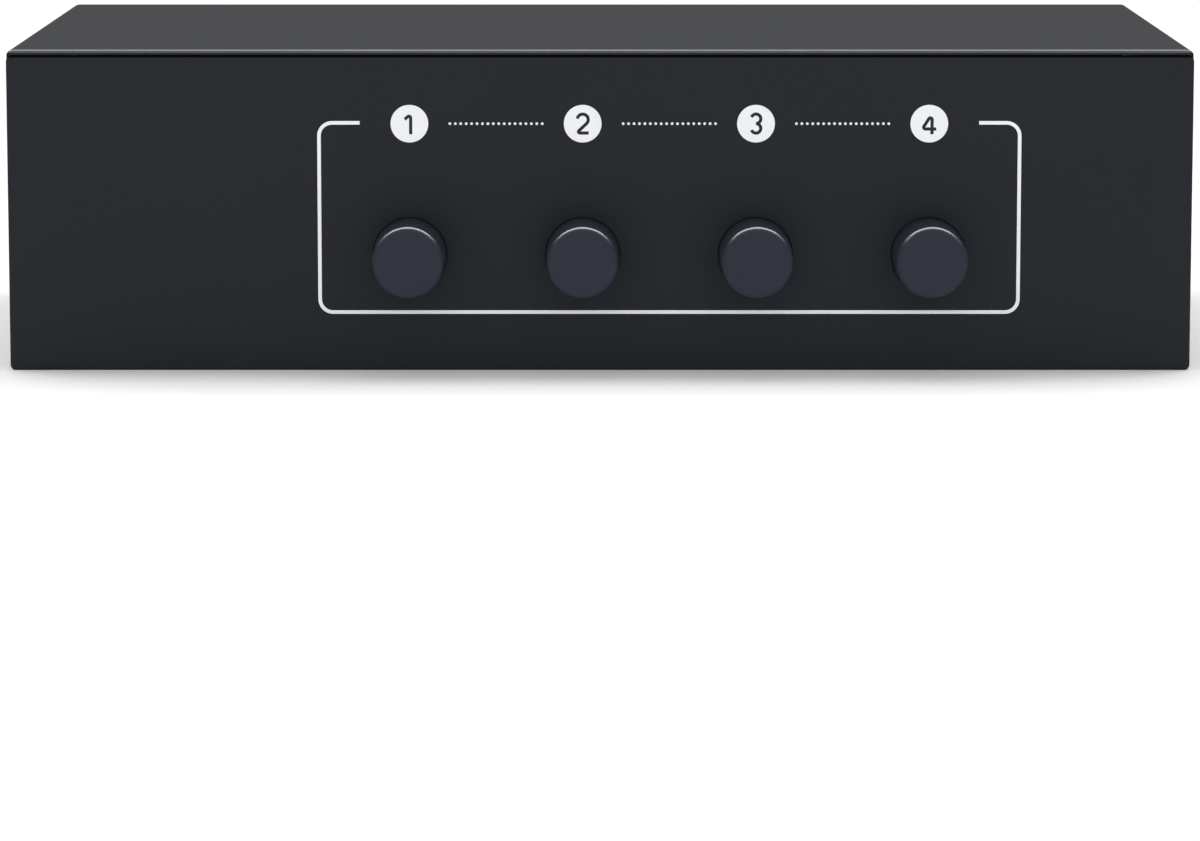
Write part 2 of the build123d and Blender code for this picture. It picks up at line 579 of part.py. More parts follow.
# ---- Centre contacts: tubes necked down to slit fingers, with tails behind the blocks ----------
contact_mouth = RCA_TIP - CONTACT_SINK
with BuildPart() as centre_contacts:
    for column_x in column_xs:
        for z, shift in ((RCA_LOW_Z, 0), (RCA_HIGH_Z, UPPER_TAIL_SHIFT)):
            with BuildSketch(turned_about_y(column_x, z)):
                with BuildLine():
                    Polyline(
                        (CONTACT_BORE, contact_mouth),
                        (CONTACT_RADIUS, contact_mouth),
                        (CONTACT_RADIUS, NECK_START),
                        (TUBE_RADIUS, NECK_START),
                        (TUBE_RADIUS, BLOCK_REAR),
                        (TUBE_RADIUS - CONTACT_WALL, BLOCK_REAR),
                        (TUBE_RADIUS - CONTACT_WALL, FINGER_BASE),
                        (CONTACT_BORE, FINGER_BASE),
                        close=True,
                    )
                make_face()
            revolve(axis=y_axis(column_x, z))
            with BuildSketch(facing_front(contact_mouth)):
                with Locations((column_x, z)):
                    Rectangle(2 * TUBE_RADIUS, CONTACT_SLIT)
            extrude(amount=contact_mouth - FINGER_BASE, mode=Mode.SUBTRACT)
            with BuildSketch(facing_front(BLOCK_REAR)):
                with Locations((column_x, z)):
                    Circle(TUBE_RADIUS)
                with Locations((column_x + shift / 2, z)):
                    Rectangle(shift + TAIL_WIDE, TAIL_WIDE)
                with Locations((column_x + shift, (z + TAIL_END) / 2)):
                    Rectangle(TAIL_WIDE, z - TAIL_END)
            extrude(amount=TAIL_THICK)
save(centre_contacts, "rca_centre_contacts")

# ---- Screws through the rear panel into the blocks ---------------------------------------------
with BuildPart() as panel_screws:
    with BuildSketch(facing_front(REAR_FACE + PANEL_SCREW_HEAD_HIGH)):
        with Locations(*[(x, SCREW_Z) for x in screw_xs]):
            Circle(PANEL_SCREW_HEAD)
    extrude(amount=PANEL_SCREW_HEAD_HIGH)
    fillet(panel_screws.edges().group_by(Axis.Y)[-1], HEAD_DOME * PANEL_SCREW_HEAD_HIGH)
    with BuildSketch(facing_front(REAR_FACE)):
        with Locations(*[(x, SCREW_Z) for x in screw_xs]):
            Circle(PANEL_SCREW_RADIUS)
    extrude(amount=PANEL_SCREW_LENGTH)
    with BuildSketch(facing_front(REAR_FACE + PANEL_SCREW_HEAD_HIGH)):
        for x in screw_xs:
            with Locations(Location((x, SCREW_Z), RECESS_TURN)):
                Rectangle(2 * RECESS_ARM, RECESS_WIDE)
                Rectangle(RECESS_WIDE, 2 * RECESS_ARM)
    extrude(amount=RECESS_DEEP, mode=Mode.SUBTRACT)
save(panel_screws, "panel_screws")


# ---- One 3.5 mm jack ---------------------------------------------------------------------------
def make_jack(x):
    """Moulded jack body with a barrel through the panel and three slots for its contacts."""
    barrel_tip = REAR_FACE + JACK_OUT
    with BuildPart() as jack:
        with BuildSketch(facing_front(REAR_INSIDE)):
            with Locations((x, (BOARD_TOP + JACK_Z + JACK_CROWN) / 2)):
                Rectangle(JACK_WIDE, JACK_Z + JACK_CROWN - BOARD_TOP)
        extrude(amount=JACK_DEEP)
        fillet(jack.edges().filter_by(Axis.Y).group_by(Axis.Z)[-1], BLOCK_ROUND)
        with BuildSketch(facing_front(barrel_tip)):
            with Locations((x, JACK_Z)):
                Circle(BARREL_RADIUS)
        extrude(amount=SHEET + JACK_OUT)
        fillet(jack.edges().group_by(Axis.Y)[-1], BARREL_ROUND)
        with BuildSketch(facing_front(barrel_tip)):
            with Locations((x, JACK_Z)):
                Circle(JACK_BORE)
        extrude(amount=barrel_tip - REAR_FACE, mode=Mode.SUBTRACT)
        with BuildSketch(facing_front(REAR_FACE + FIT_GAP)):
            with Locations((x, JACK_Z)):
                Circle(JACK_CHAMBER)
        extrude(amount=JACK_BORE_DEPTH - JACK_OUT, mode=Mode.SUBTRACT)
        mouth = jack.edges().filter_by(GeomType.CIRCLE).group_by(Axis.Y)[-1].sort_by(SortBy.RADIUS)[0]
        chamfer(mouth, JACK_MOUTH)
        with BuildSketch(Plane.XY.offset(BOARD_TOP)):
            for side, y in JACK_SLOTS:
                with Locations((x + side * JACK_WIDE / 2, REAR_INSIDE - y)):
                    Rectangle(JACK_WIDE - 2 * JACK_BORE, SPRING_SLOT)
        extrude(amount=JACK_HEIGHT + SPRING_SLOT_HALF, mode=Mode.SUBTRACT)
    return jack


def make_jack_contacts(x):
    """Sleeve, ring and tip blades, standing in the body's slots with their tails through the board."""
    with BuildPart() as contacts:
        with BuildSketch(Plane.XY.offset(TAIL_END)):
            for side, y in JACK_SLOTS:
                with Locations((x + side * BLADE_OFFSET, REAR_INSIDE - y)):
                    Rectangle(SPRING_BLADE, TAIL_WIDE)
        extrude(amount=JACK_Z + SPRING_SLOT_HALF - FIT_GAP - TAIL_END)
    return contacts


for name, jack_x in zip(SECTIONS, jack_xs):
    save(make_jack(jack_x), f"phone_jack_{name}")
    save(make_jack_contacts(jack_x), f"phone_jack_contacts_{name}")


# ---- Buttons -----------------------------------------------------------------------------------
def make_cap(x):
    """Round cap, slightly tapered outside the panel, with a square socket for the plunger."""
    face = FRONT_FACE - BUTTON_OUT
    with BuildPart() as cap:
        with BuildSketch(turned_about_y(x, BUTTON_Z)):
            with BuildLine():
                Polyline(
                    (0, face),
                    (CAP_FACE_RADIUS, face),
                    (CAP_RADIUS, FRONT_FACE),
                    (CAP_RADIUS, CAP_REAR),
                    (0, CAP_REAR),
                    close=True,
                )
            make_face()
        revolve(axis=y_axis(x, BUTTON_Z))
        fillet(cap.edges().group_by(Axis.Y)[0], CAP_EDGE)
        with BuildSketch(facing_front(CAP_REAR)):
            with Locations((x, BUTTON_Z)):
                Rectangle(PLUNGER_SIZE + 2 * FIT_GAP, PLUNGER_SIZE + 2 * FIT_GAP)
        extrude(amount=SOCKET_DEEP, mode=Mode.SUBTRACT)
    return cap


def make_plunger(x):
    """Square rod with a collar for its spring and a wedge that passes the latch bar."""
    with BuildPart() as plunger:
        with BuildSketch(facing_front(BODY_REAR + PLUNGER_TAIL)):
            with Locations((x, BUTTON_Z)):
                Rectangle(PLUNGER_SIZE, PLUNGER_SIZE)
        extrude(amount=BODY_REAR + PLUNGER_TAIL - CAP_REAR + SOCKET_DEEP)
        with BuildSketch(facing_front(SPRING_FRONT)):
            with Locations((x, BUTTON_Z)):
                Circle(COLLAR_RADIUS)
        extrude(amount=COLLAR_THICK)
        with BuildSketch(Plane.XY.offset(BUTTON_Z - WEDGE_HIGH / 2)):
            with BuildLine():
                Polyline(
                    (x, WEDGE_SHOULDER),
                    (x + WEDGE_REACH, WEDGE_SHOULDER),
                    (x + WEDGE_REACH, WEDGE_SHOULDER + WEDGE_RISE),
                    (x + PLUNGER_HALF, WEDGE_TIP),
                    (x, WEDGE_TIP),
                    close=True,
                )
            make_face()
        extrude(amount=WEDGE_HIGH)
    return plunger


def make_spring(start, direction, length, wire, radius, turns):
    """Coil of square wire that starts at a point and runs along a direction."""
    rise = length - wire
    axis = Vector(*direction)
    foot = Vector(*start) + axis * (wire / 2)
    with BuildPart() as coil:
        with BuildLine():
            path = Helix(rise / turns, rise, radius, center=foot, direction=direction)
        with BuildSketch(Plane(origin=path @ 0, z_dir=path % 0, x_dir=axis)):
            Rectangle(wire, wire)
        sweep(is_frenet=True)
    return coil


def make_switch_body(x):
    """Moulded contact housing with a square channel for the plunger and room for its wedge."""
    with BuildPart() as body:
        with BuildSketch(facing_front(BODY_REAR)):
            with Locations((x, (BOARD_TOP + BODY_TOP) / 2)):
                Rectangle(BODY_WIDE, BODY_TOP - BOARD_TOP)
        extrude(amount=BODY_DEEP)
        with BuildSketch(facing_front(BODY_REAR)):
            with Locations((x, BUTTON_Z)):
                Rectangle(2 * CHANNEL_HALF, 2 * CHANNEL_HALF)
        extrude(amount=BODY_DEEP, mode=Mode.SUBTRACT)
        relief_rear = WEDGE_TIP + STROKE + CHANNEL_GAP
        with BuildSketch(facing_front(relief_rear)):
            with Locations((x + WEDGE_ROOM / 2, BUTTON_Z)):
                Rectangle(WEDGE_ROOM, WEDGE_ROOM_HIGH)
        extrude(amount=relief_rear - BODY_FRONT, mode=Mode.SUBTRACT)
    return body


for number, button_x in enumerate(button_xs, start=1):
    save(make_cap(button_x), f"button_cap_{number}")
    save(make_plunger(button_x), f"plunger_{number}")
    save(make_switch_body(button_x), f"switch_body_{number}")
    return_spring = make_spring(
        (button_x, SPRING_FRONT + SEAT_GAP, BUTTON_Z),
        (0, 1, 0),
        SPRING_LENGTH - 2 * SEAT_GAP,
        SPRING_WIRE,
        SPRING_RADIUS,
        SPRING_TURNS,
    )
    save(return_spring, f"return_spring_{number}")

# ---- Latch bar: a strip across all four plungers, with a window for each -----------------------
latch_left = button_xs[0] - LATCH_SIDE
latch_right = button_xs[-1] + LATCH_SIDE
latch_bottom = BUTTON_Z - LATCH_DROP
latch_top = BODY_TOP - LATCH_GAP
window_left = -CHANNEL_HALF
window_right = WEDGE_REACH + 2 * LATCH_GAP
with BuildPart() as latch_bar:
    with BuildSketch(facing_front(LATCH_REAR)):
        with Locations(((latch_left + latch_right) / 2, (latch_bottom + latch_top) / 2)):
            Rectangle(latch_right - latch_left, latch_top - latch_bottom)
        with Locations(*[(x + (window_left + window_right) / 2, BUTTON_Z) for x in button_xs]):
            Rectangle(window_right - window_left, 2 * CHANNEL_HALF, mode=Mode.SUBTRACT)
    extrude(amount=LATCH_THICK)
save(latch_bar, "latch_bar")

latch_spring = make_spring(
    (latch_right + SEAT_GAP, (LATCH_FRONT + LATCH_REAR) / 2, (latch_bottom + latch_top) / 2),
    (1, 0, 0),
    LATCH_SPRING_LENGTH - 2 * SEAT_GAP,
    LATCH_SPRING_WIRE,
    LATCH_SPRING_RADIUS,
    LATCH_SPRING_TURNS,
)
save(latch_spring, "latch_spring")

# ---- Switch frame: a folded steel channel over the four bodies ---------------------------------
frame_left = button_xs[0] - FRAME_SIDE
frame_right = button_xs[-1] + FRAME_SIDE
spring_stop = latch_right + LATCH_SPRING_LENGTH
stop_right = spring_stop + FRAME_THICK
stop_rear = BODY_FRONT + STOP_TAB
plate_rear = BODY_REAR + FRAME_THICK
frame_top = BODY_TOP + FRAME_THICK
with BuildPart() as switch_frame:
    with BuildSketch(facing_front(FRAME_FRONT + FRAME_THICK)):
        with Locations(((frame_left + frame_right) / 2, (BOARD_TOP + frame_top) / 2)):
            Rectangle(frame_right - frame_left, frame_top - BOARD_TOP)
        with Locations(*[(x, (BOARD_TOP + TAIL_END) / 2) for x in foot_xs]):
            Rectangle(FRAME_FOOT_WIDE, BOARD_TOP - TAIL_END)
    extrude(amount=FRAME_THICK)
    with BuildSketch(Plane.XY.offset(BODY_TOP)):
        with Locations(((frame_left + frame_right) / 2, (FRAME_FRONT + plate_rear) / 2)):
            Rectangle(frame_right - frame_left, plate_rear - FRAME_FRONT)
        with Locations(((frame_left + stop_right) / 2, (FRAME_FRONT + stop_rear) / 2)):
            Rectangle(stop_right - frame_left, stop_rear - FRAME_FRONT)
    extrude(amount=FRAME_THICK)
    with BuildSketch(facing_front(plate_rear)):
        with Locations(((frame_left + frame_right) / 2, frame_top - FRAME_LIP / 2)):
            Rectangle(frame_right - frame_left, FRAME_LIP)
    extrude(amount=FRAME_THICK)
    with BuildSketch(Plane.YZ.offset(spring_stop)):
        with Locations(((FRAME_FRONT + stop_rear) / 2, (latch_bottom + frame_top) / 2)):
            Rectangle(stop_rear - FRAME_FRONT, frame_top - latch_bottom)
    extrude(amount=FRAME_THICK)
    with BuildSketch(facing_front(FRAME_FRONT + FRAME_THICK)):
        with Locations(*[(x, BUTTON_Z) for x in button_xs]):
            Rectangle(2 * CHANNEL_HALF, 2 * CHANNEL_HALF)
        with Locations(*[(x + WEDGE_ROOM / 2, BUTTON_Z) for x in button_xs]):
            Rectangle(WEDGE_ROOM, WEDGE_ROOM_HIGH)
    extrude(amount=FRAME_THICK, mode=Mode.SUBTRACT)
    with BuildSketch(facing_front(LATCH_REAR)):
        with Locations(
            (button_xs[0] + BUTTON_PITCH / 2, latch_bottom - LATCH_GAP - LEDGE_HIGH / 2),
            (button_xs[-1] - BUTTON_PITCH / 2, latch_bottom - LATCH_GAP - LEDGE_HIGH / 2),
        ):
            Rectangle(LEDGE_WIDE, LEDGE_HIGH)
    extrude(amount=LATCH_REAR - FRAME_FRONT)
save(switch_frame, "switch_frame")

# ---- Switch terminals, soldered through the board ----------------------------------------------
with BuildPart() as switch_pins:
    with BuildSketch(Plane.XY.offset(TAIL_END)):
        with Locations(*pin_spots):
            Rectangle(PIN_SIZE, PIN_SIZE / 2)
    extrude(amount=BOARD_TOP - TAIL_END)
save(switch_pins, "switch_pins")
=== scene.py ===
# %% [markdown]
# # An audio source selector, finished in Blender
#
# The object is a small black steel box. Four round push buttons stand out of its front, and five groups of
# sockets stand out of its back. Its case, sockets, screws and switch parts come in as fixed parts, at their
# real size and already in place. This file gives each of them its finish, prints the white lines and numbers
# on the two panels, and adds the few shapes whose looks need more than the plain part: the heads of the
# panel screws and the coil springs behind the buttons.
#
# Everything is in metres. +X runs to the right when the buttons face you, +Y runs from the buttons to the
# sockets, and +Z is up.

# %% Load the fixed parts
import math

import bmesh
import bpy
import numpy as np
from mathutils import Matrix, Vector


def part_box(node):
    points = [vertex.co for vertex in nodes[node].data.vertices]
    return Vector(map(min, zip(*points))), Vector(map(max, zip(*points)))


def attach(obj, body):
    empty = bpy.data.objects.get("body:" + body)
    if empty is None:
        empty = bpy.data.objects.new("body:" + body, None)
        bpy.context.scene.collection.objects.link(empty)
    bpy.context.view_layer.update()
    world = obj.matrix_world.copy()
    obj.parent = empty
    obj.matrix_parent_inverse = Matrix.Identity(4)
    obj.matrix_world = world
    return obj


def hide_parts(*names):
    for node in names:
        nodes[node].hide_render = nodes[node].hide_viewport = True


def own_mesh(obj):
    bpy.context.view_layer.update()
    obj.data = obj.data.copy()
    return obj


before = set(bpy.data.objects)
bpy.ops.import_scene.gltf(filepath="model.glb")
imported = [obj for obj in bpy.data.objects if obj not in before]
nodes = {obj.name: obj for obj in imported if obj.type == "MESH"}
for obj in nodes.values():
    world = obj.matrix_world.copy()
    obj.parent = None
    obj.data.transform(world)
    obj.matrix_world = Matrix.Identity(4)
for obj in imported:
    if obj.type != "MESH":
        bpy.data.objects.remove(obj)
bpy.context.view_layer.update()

# %% [markdown]
# ## Where things are
#
# A finish or a print has to sit on the part that carries it, so its place is read from that part and never
# typed in again. The box of a part gives the two panels' outside faces, the axis of each button and the axis
# of each socket. Only sizes that belong to the print itself are written here, in millimetres.

# %% Faces and axes, read from the parts
MM = 0.001
SECTIONS = ("in4", "in3", "in2", "in1", "out")


def middle(node):
    """Middle of a part's box, as an array of X, Y and Z."""
    low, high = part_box(node)
    return (np.array(low) + np.array(high)) / 2


def reach(node, side):
    """Lowest (side 0) or highest (side 1) corner of a part's box, as an array."""
    return np.array(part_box(node)[side])


front_face = reach("chassis_tray", 0)[1]
rear_face = reach("chassis_tray", 1)[1]
buttons = np.array([middle(f"button_cap_{n}") for n in (1, 2, 3, 4)])
sockets = np.array([middle(f"rca_white_insulator_{name}") for name in SECTIONS])
bank_x = buttons[:, 0].mean()
button_pitch = buttons[1, 0] - buttons[0, 0]
section_pitch = sockets[0, 0] - sockets[1, 0]
print("panels", round((rear_face - front_face) / MM, 2), "mm apart")
print("buttons at", (buttons[:, 0] / MM).round(2))

# %% [markdown]
# ## The camera
#
# The box is seen from straight in front and a little above, with a long lens, so its top shows as a thin
# band and its sides hardly converge. A long lens is what a maker's catalogue uses: it keeps the front panel
# close to a drawing of itself. The tilt puts the box in the upper half of the picture.

# %% Camera
CAMERA_DISTANCE = 614.97 * MM  # from the front panel
CAMERA_HEIGHT = 82.72 * MM
CAMERA_TILT = 8.201  # degrees below level
LENS = 160.23  # in mm, for this sensor
SENSOR = 36

camera = bpy.data.objects.new("camera", bpy.data.cameras.new("camera"))
camera.location = (0, front_face - CAMERA_DISTANCE, CAMERA_HEIGHT)
camera.rotation_euler = (math.radians(90 - CAMERA_TILT), 0, 0)
camera.data.lens = LENS
camera.data.sensor_width = SENSOR
camera.data.clip_start = 0.01
bpy.context.collection.objects.link(camera)
bpy.context.scene.camera = camera
print("camera at", [round(v, 4) for v in camera.location])

# %% [markdown]
# ## Shader sums written as sums
#
# A finish is a recipe of numbers that vary over a surface: how dark, how rough, how high. Blender builds such
# a recipe from boxes and wires. The class below wraps one wire, so that `0.4 + 0.1 * grain` adds the Math
# boxes it needs, and `1 - mask` works as well. Numbers that are the same all over go straight onto the
# shader's own sockets, because then nothing has to be worked out for them.

# %% A varying number, and a finish
MIX_SHARE, MIX_FIRST, MIX_SECOND, MIX_OUT = 0, 6, 7, 2  # sockets of a Mix node that mixes colours


class Amount:
    """A number that varies over a surface. Arithmetic on it adds Math nodes to its finish."""

    def __init__(self, finish, socket):
        self.finish = finish
        self.socket = socket

    def combine(self, operation, *others):
        """Math node over this amount and up to two more values."""
        inputs = dict(enumerate((self, *others)))
        return self.finish.add("ShaderNodeMath", {"operation": operation}, inputs)

    def __add__(self, other):
        return self.combine("ADD", other)

    def __sub__(self, other):
        return self.combine("SUBTRACT", other)

    def __rsub__(self, other):
        return self.combine("MULTIPLY_ADD", -1.0, other)

    def __mul__(self, other):
        return self.combine("MULTIPLY", other)

    __radd__ = __add__
    __rmul__ = __mul__


class Finish:
    """A material made of one Principled shader and whatever feeds it."""

    def __init__(self, name, **constants):
        self.material = bpy.data.materials.new(name)
        self.material.use_nodes = True
        self.tree = self.material.node_tree
        self.shader = self.tree.nodes["Principled BSDF"]
        self.feed({key.replace("_", " "): value for key, value in constants.items()})
        self.place = self.add("ShaderNodeTexCoord", {}, {}, "Object")

    def link(self, node, key, value):
        """Give a socket its value, or a wire from an Amount."""
        if isinstance(value, Amount):
            self.tree.links.new(value.socket, node.inputs[key])
        else:
            node.inputs[key].default_value = value

    def add(self, kind, settings, inputs, output=0):
        """New node: its settings are set first, then its sockets. One of its outputs comes back."""
        node = self.tree.nodes.new(kind)
        for key, value in settings.items():
            setattr(node, key, value)
        for key, value in inputs.items():
            self.link(node, key, value)
        return Amount(self, node.outputs[output])

    def feed(self, values):
        """Set or wire sockets of the finish's own shader."""
        for key, value in values.items():
            self.link(self.shader, key, value)

    def axes(self):
        """X, Y and Z of a place on the surface, in metres."""
        return [self.add("ShaderNodeSeparateXYZ", {}, {0: self.place}, axis) for axis in "XYZ"]

    def from_axes(self, first, pitch, height):
        """Distance from the nearest of a row of axes along Y: one at X = first, the others a pitch apart."""
        x, _, z = self.axes()
        across = (x - float(first - pitch / 2)).combine("FLOORED_MODULO", float(pitch)) - float(pitch / 2)
        up = z - float(height)
        return (across * across + up * up).combine("SQRT")

    def grain(self, size, detail=2.0, stretch=(1, 1, 1)):
        """Soft random pattern from 0 to 1 with spots about this many metres across, longer along stretch."""
        spot = self.add(
            "ShaderNodeVectorMath",
            {"operation": "MULTIPLY"},
            {0: self.place, 1: tuple(1 / (size * s) for s in stretch)},
        )
        return self.add("ShaderNodeTexNoise", {}, {"Vector": spot, "Scale": 1.0, "Detail": detail})

    def blend(self, amount, first, second):
        """Colour that goes from the first to the second as the amount goes from 0 to 1."""
        inputs = {MIX_SHARE: amount, MIX_FIRST: (*first, 1), MIX_SECOND: (*second, 1)}
        return self.add("ShaderNodeMix", {"data_type": "RGBA"}, inputs, MIX_OUT)

    def relief(self, height, depth):
        """Normal of a surface whose height varies from 0 to 1 over this many metres."""
        return self.add("ShaderNodeBump", {}, {"Strength": 1.0, "Distance": depth, "Height": height})


print("shader helpers ready")

# %% [markdown]
# ## Powder coat
#
# The case is steel with a baked powder coat: nearly black with a breath of blue, matt, and covered with the
# fine waviness that melted powder leaves. Two layers of noise make that skin, one with spots of half a
# millimetre and one with spots of a tenth, and they lift the surface a few thousandths of a millimetre. A
# third, slow one lets the gloss wander a little from place to place, as it does on any sprayed sheet.
#
# Powder gathers along a sheared edge and melts into a smoother bead there. On the cover, that bead runs
# along the rounded front and rear rims of the top, and it gets a thin gloss: a place belongs to it when it
# lies high on the cover and close to either end of it along Y.

# %% Powder coat on the case
BEAD_WIDE = 0.5 * MM
BEAD_HIGH = 0.34 * MM


def powder_coat(name, bead=None):
    """Black powder coat. A bead (low Y, high Y, low Z) is glossy beyond both Y and above Z."""
    finish = Finish(name, **{"Specular IOR Level": 0.24, "Coat Roughness": 0.27, "Coat IOR": 1.72})
    finish.feed({"Specular Tint": (0.9, 0.93, 1.0, 1)})
    skin = finish.grain(0.45 * MM, detail=3.0)
    dust = finish.grain(0.11 * MM, detail=1.0)
    drift = finish.grain(30 * MM, detail=2.0)
    shade = drift * 0.6 + skin * 0.4
    finish.feed({
        "Base Color": finish.blend(shade, (0.0056, 0.0066, 0.0094), (0.01, 0.0114, 0.0152)),
        "Roughness": 0.44 + 0.08 * drift + 0.06 * dust,
        "Normal": finish.relief(skin * 0.75 + dust * 0.25, 0.006 * MM),
    })
    if bead:
        y, z = finish.axes()[1:]
        ends = y.combine("LESS_THAN", bead[0]) + y.combine("GREATER_THAN", bead[1])
        finish.feed({"Coat Weight": ends * z.combine("GREATER_THAN", bead[2])})
    return finish.material


cover_low, cover_high = (reach("top_cover", side).tolist() for side in (0, 1))
bead = (cover_low[1] + BEAD_WIDE, cover_high[1] - BEAD_WIDE, cover_high[2] - BEAD_HIGH)
case_coat = powder_coat("powder_coat")
cover_coat = powder_coat("cover_coat", bead)
print("made", case_coat.name, "and", cover_coat.name)

# %% [markdown]
# ## Moulded plastics
#
# The socket blocks, the white and red insulators and the parts of the switch are injection mouldings. What
# tells them apart is their colour and their tool, so one function makes all four plastics from a colour, a
# gloss and the size of the tool's texture. The buttons and the jacks need a little more, and come after them.

# %% Moulded plastics
def moulded(name, dark, light, rough, texture, depth, specular=0.5):
    """Plastic between two colours, with the texture of its mould: spot size and depth in metres."""
    finish = Finish(name, **{"Specular IOR Level": specular})
    spark = finish.grain(texture, detail=2.0)
    flow = finish.grain(6 * MM, detail=3.0)
    finish.feed({
        "Base Color": finish.blend(flow, dark, light),
        "Roughness": rough + 0.08 * (spark - 0.5) + 0.06 * (flow - 0.5),
        "Normal": finish.relief(spark, depth),
    })
    return finish.material


block_plastic = moulded(
    "block_plastic", (0.002, 0.002, 0.0024), (0.0034, 0.0034, 0.0038),
    rough=0.5, texture=0.2 * MM, depth=0.003 * MM, specular=0.1,
)
white_plastic = moulded(
    "white_plastic", (0.68, 0.68, 0.72), (0.75, 0.75, 0.78),
    rough=0.34, texture=0.3 * MM, depth=0.002 * MM,
)
red_plastic = moulded(
    "red_plastic", (0.56, 0.028, 0.02), (0.66, 0.04, 0.027),
    rough=0.34, texture=0.3 * MM, depth=0.002 * MM,
)
switch_plastic = moulded(
    "switch_plastic", (0.03, 0.03, 0.031), (0.045, 0.045, 0.046),
    rough=0.45, texture=0.25 * MM, depth=0.004 * MM,
)
print("made four plastics")

# %% [markdown]
# ## Button caps
#
# A cap has the satin skin of its mould all over, but fingers slide over the upper side of its rounded rim and
# polish it there. So that part of the rim gets a thin clear gloss on top of the satin. A place belongs to it
# when it is near the cap's front and far from the cap's axis, and the gloss fades out down both sides. All
# four caps share one finish: the distance across is folded by the pitch of the buttons.

# %% Plastic of the caps
CAP_RIM = 0.75 * MM
RIM_GLOSS = 0.45 * MM  # width of the polished ring, from the cap's side inwards
GLOSS_START = 1.6 * MM  # the gloss begins this far above the axis
GLOSS_FULL = 2.6 * MM
cap_radius = (reach("button_cap_1", 1)[2] - reach("button_cap_1", 0)[2]) / 2
cap_front = reach("button_cap_1", 0)[1]


def cap_plastic():
    finish = Finish("button_plastic", **{"Specular IOR Level": 0.1, "Coat Roughness": 0.2, "Coat IOR": 2.5})
    y, z = finish.axes()[1:]
    from_axis = finish.from_axes(buttons[0, 0], button_pitch, buttons[0, 2])
    outside = from_axis.combine("GREATER_THAN", float(cap_radius - RIM_GLOSS))
    in_front = y.combine("LESS_THAN", float(cap_front + CAP_RIM))
    limits = {"Value": z - float(buttons[0, 2]), "From Min": GLOSS_START, "From Max": GLOSS_FULL}
    upper = finish.add("ShaderNodeMapRange", {"interpolation_type": "SMOOTHSTEP"}, limits)
    spark = finish.grain(0.16 * MM)
    flow = finish.grain(6 * MM, detail=3.0)
    finish.feed({
        "Base Color": finish.blend(flow, (0.0235, 0.0272, 0.0385), (0.0265, 0.0302, 0.043)),
        "Roughness": 0.36 + 0.08 * (spark - 0.5) + 0.06 * (flow - 0.5),
        "Coat Weight": outside * in_front * upper,
        "Normal": finish.relief(spark, 0.0025 * MM),
    })
    return finish.material


button_plastic = cap_plastic()
print("made", button_plastic.name)

# %% [markdown]
# ## Jack barrels
#
# The jacks are black too, but the flat end of each barrel round its mouth is painted grey: a painted
# highlight for the light that this flat end catches. The ring is found as the caps' gloss was: it is near the
# barrel's tip, and near the axis of the nearest jack.

# %% Plastic of the jacks
JACK_CROWN = 2.9 * MM  # from a jack's axis to the top of its body
JACK_LIT_RING = 2.32 * MM  # outer radius of the painted highlight ring
RING_BACK = 0.3 * MM  # the ring reaches this far behind the tip


def jack_plastic():
    finish = Finish("jack_plastic", **{"Specular IOR Level": 0.3})
    axis = middle("phone_jack_out")[0]
    height = reach("phone_jack_out", 1)[2] - JACK_CROWN
    near = finish.from_axes(axis, section_pitch, height).combine("LESS_THAN", JACK_LIT_RING)
    at_tip = finish.axes()[1].combine("GREATER_THAN", float(reach("phone_jack_out", 1)[1] - RING_BACK))
    spark = finish.grain(0.3 * MM)
    finish.feed({
        # painted highlight: the flat end round each mouth is painted light grey, for the light it catches
        "Base Color": finish.blend(near * at_tip, (0.0035, 0.0035, 0.004), (0.085, 0.085, 0.088)),
        "Roughness": 0.3 + 0.1 * spark,
        "Normal": finish.relief(spark, 0.002 * MM),
    })
    return finish.material


barrel_plastic = jack_plastic()
print("made", barrel_plastic.name)

# %% [markdown]
# ## Plated metal
#
# The phono shells are bright nickel, the screws are blackened steel, and the frame and springs inside the
# case are zinc or bare wire. Plating copies the marks of the tool below it, so a sheet keeps long rolling
# lines: a grain that is stretched along one axis draws them.
#
# A phono shell is turned on a lathe. Its sleeve keeps fine rings and looks satin, while its nose is burnished
# bright. Its sleeve is also painted greyer, as painted shade for the dark panel that it reflects. The rings
# are a sine along Y, and the rings, the satin and the painted grey fade out together where the nose begins.

# %% Metals
def plated(name, dark, light, rough, mark, depth, stretch=(1, 1, 1)):
    """Metal between two colours, with marks of this size in metres, longer along stretch."""
    finish = Finish(name, Metallic=1.0)
    lines = finish.grain(mark, detail=3.0, stretch=stretch)
    cloud = finish.grain(4 * MM, detail=2.0)
    finish.feed({
        "Base Color": finish.blend(cloud, dark, light),
        "Roughness": rough + 0.1 * (lines - 0.5) + 0.08 * (cloud - 0.5),
        "Normal": finish.relief(lines, depth),
    })
    return finish.material


SLEEVE_END = 3.1 * MM  # the rings fade out this far behind the tip
RING_PITCH = 0.16 * MM
RING_DEEP = 0.008 * MM


def turned_nickel():
    finish = Finish("turned_nickel", Metallic=1.0)
    tip = float(reach("rca_shells_out", 1)[1])
    y = finish.axes()[1]
    limits = {"Value": y, "From Min": tip - SLEEVE_END, "From Max": tip - SLEEVE_END + 3 * RING_PITCH}
    limits.update({"To Min": 1.0, "To Max": 0.0})
    sleeve = finish.add("ShaderNodeMapRange", {"interpolation_type": "SMOOTHSTEP"}, limits)
    ring = (y * (2 * math.pi / RING_PITCH)).combine("SINE")
    cloud = finish.grain(3 * MM, detail=2.0)
    finish.feed({
        # painted shade: the sleeve's colour is darker, for the dark panel it reflects
        "Base Color": finish.blend(sleeve * 0.85 + cloud * 0.15, (0.84, 0.83, 0.81), (0.4, 0.4, 0.39)),
        "Roughness": 0.2 + 0.2 * sleeve + 0.06 * (cloud - 0.5),
        "Normal": finish.relief(ring * sleeve * 0.5 + 0.5, RING_DEEP),
    })
    return finish.material


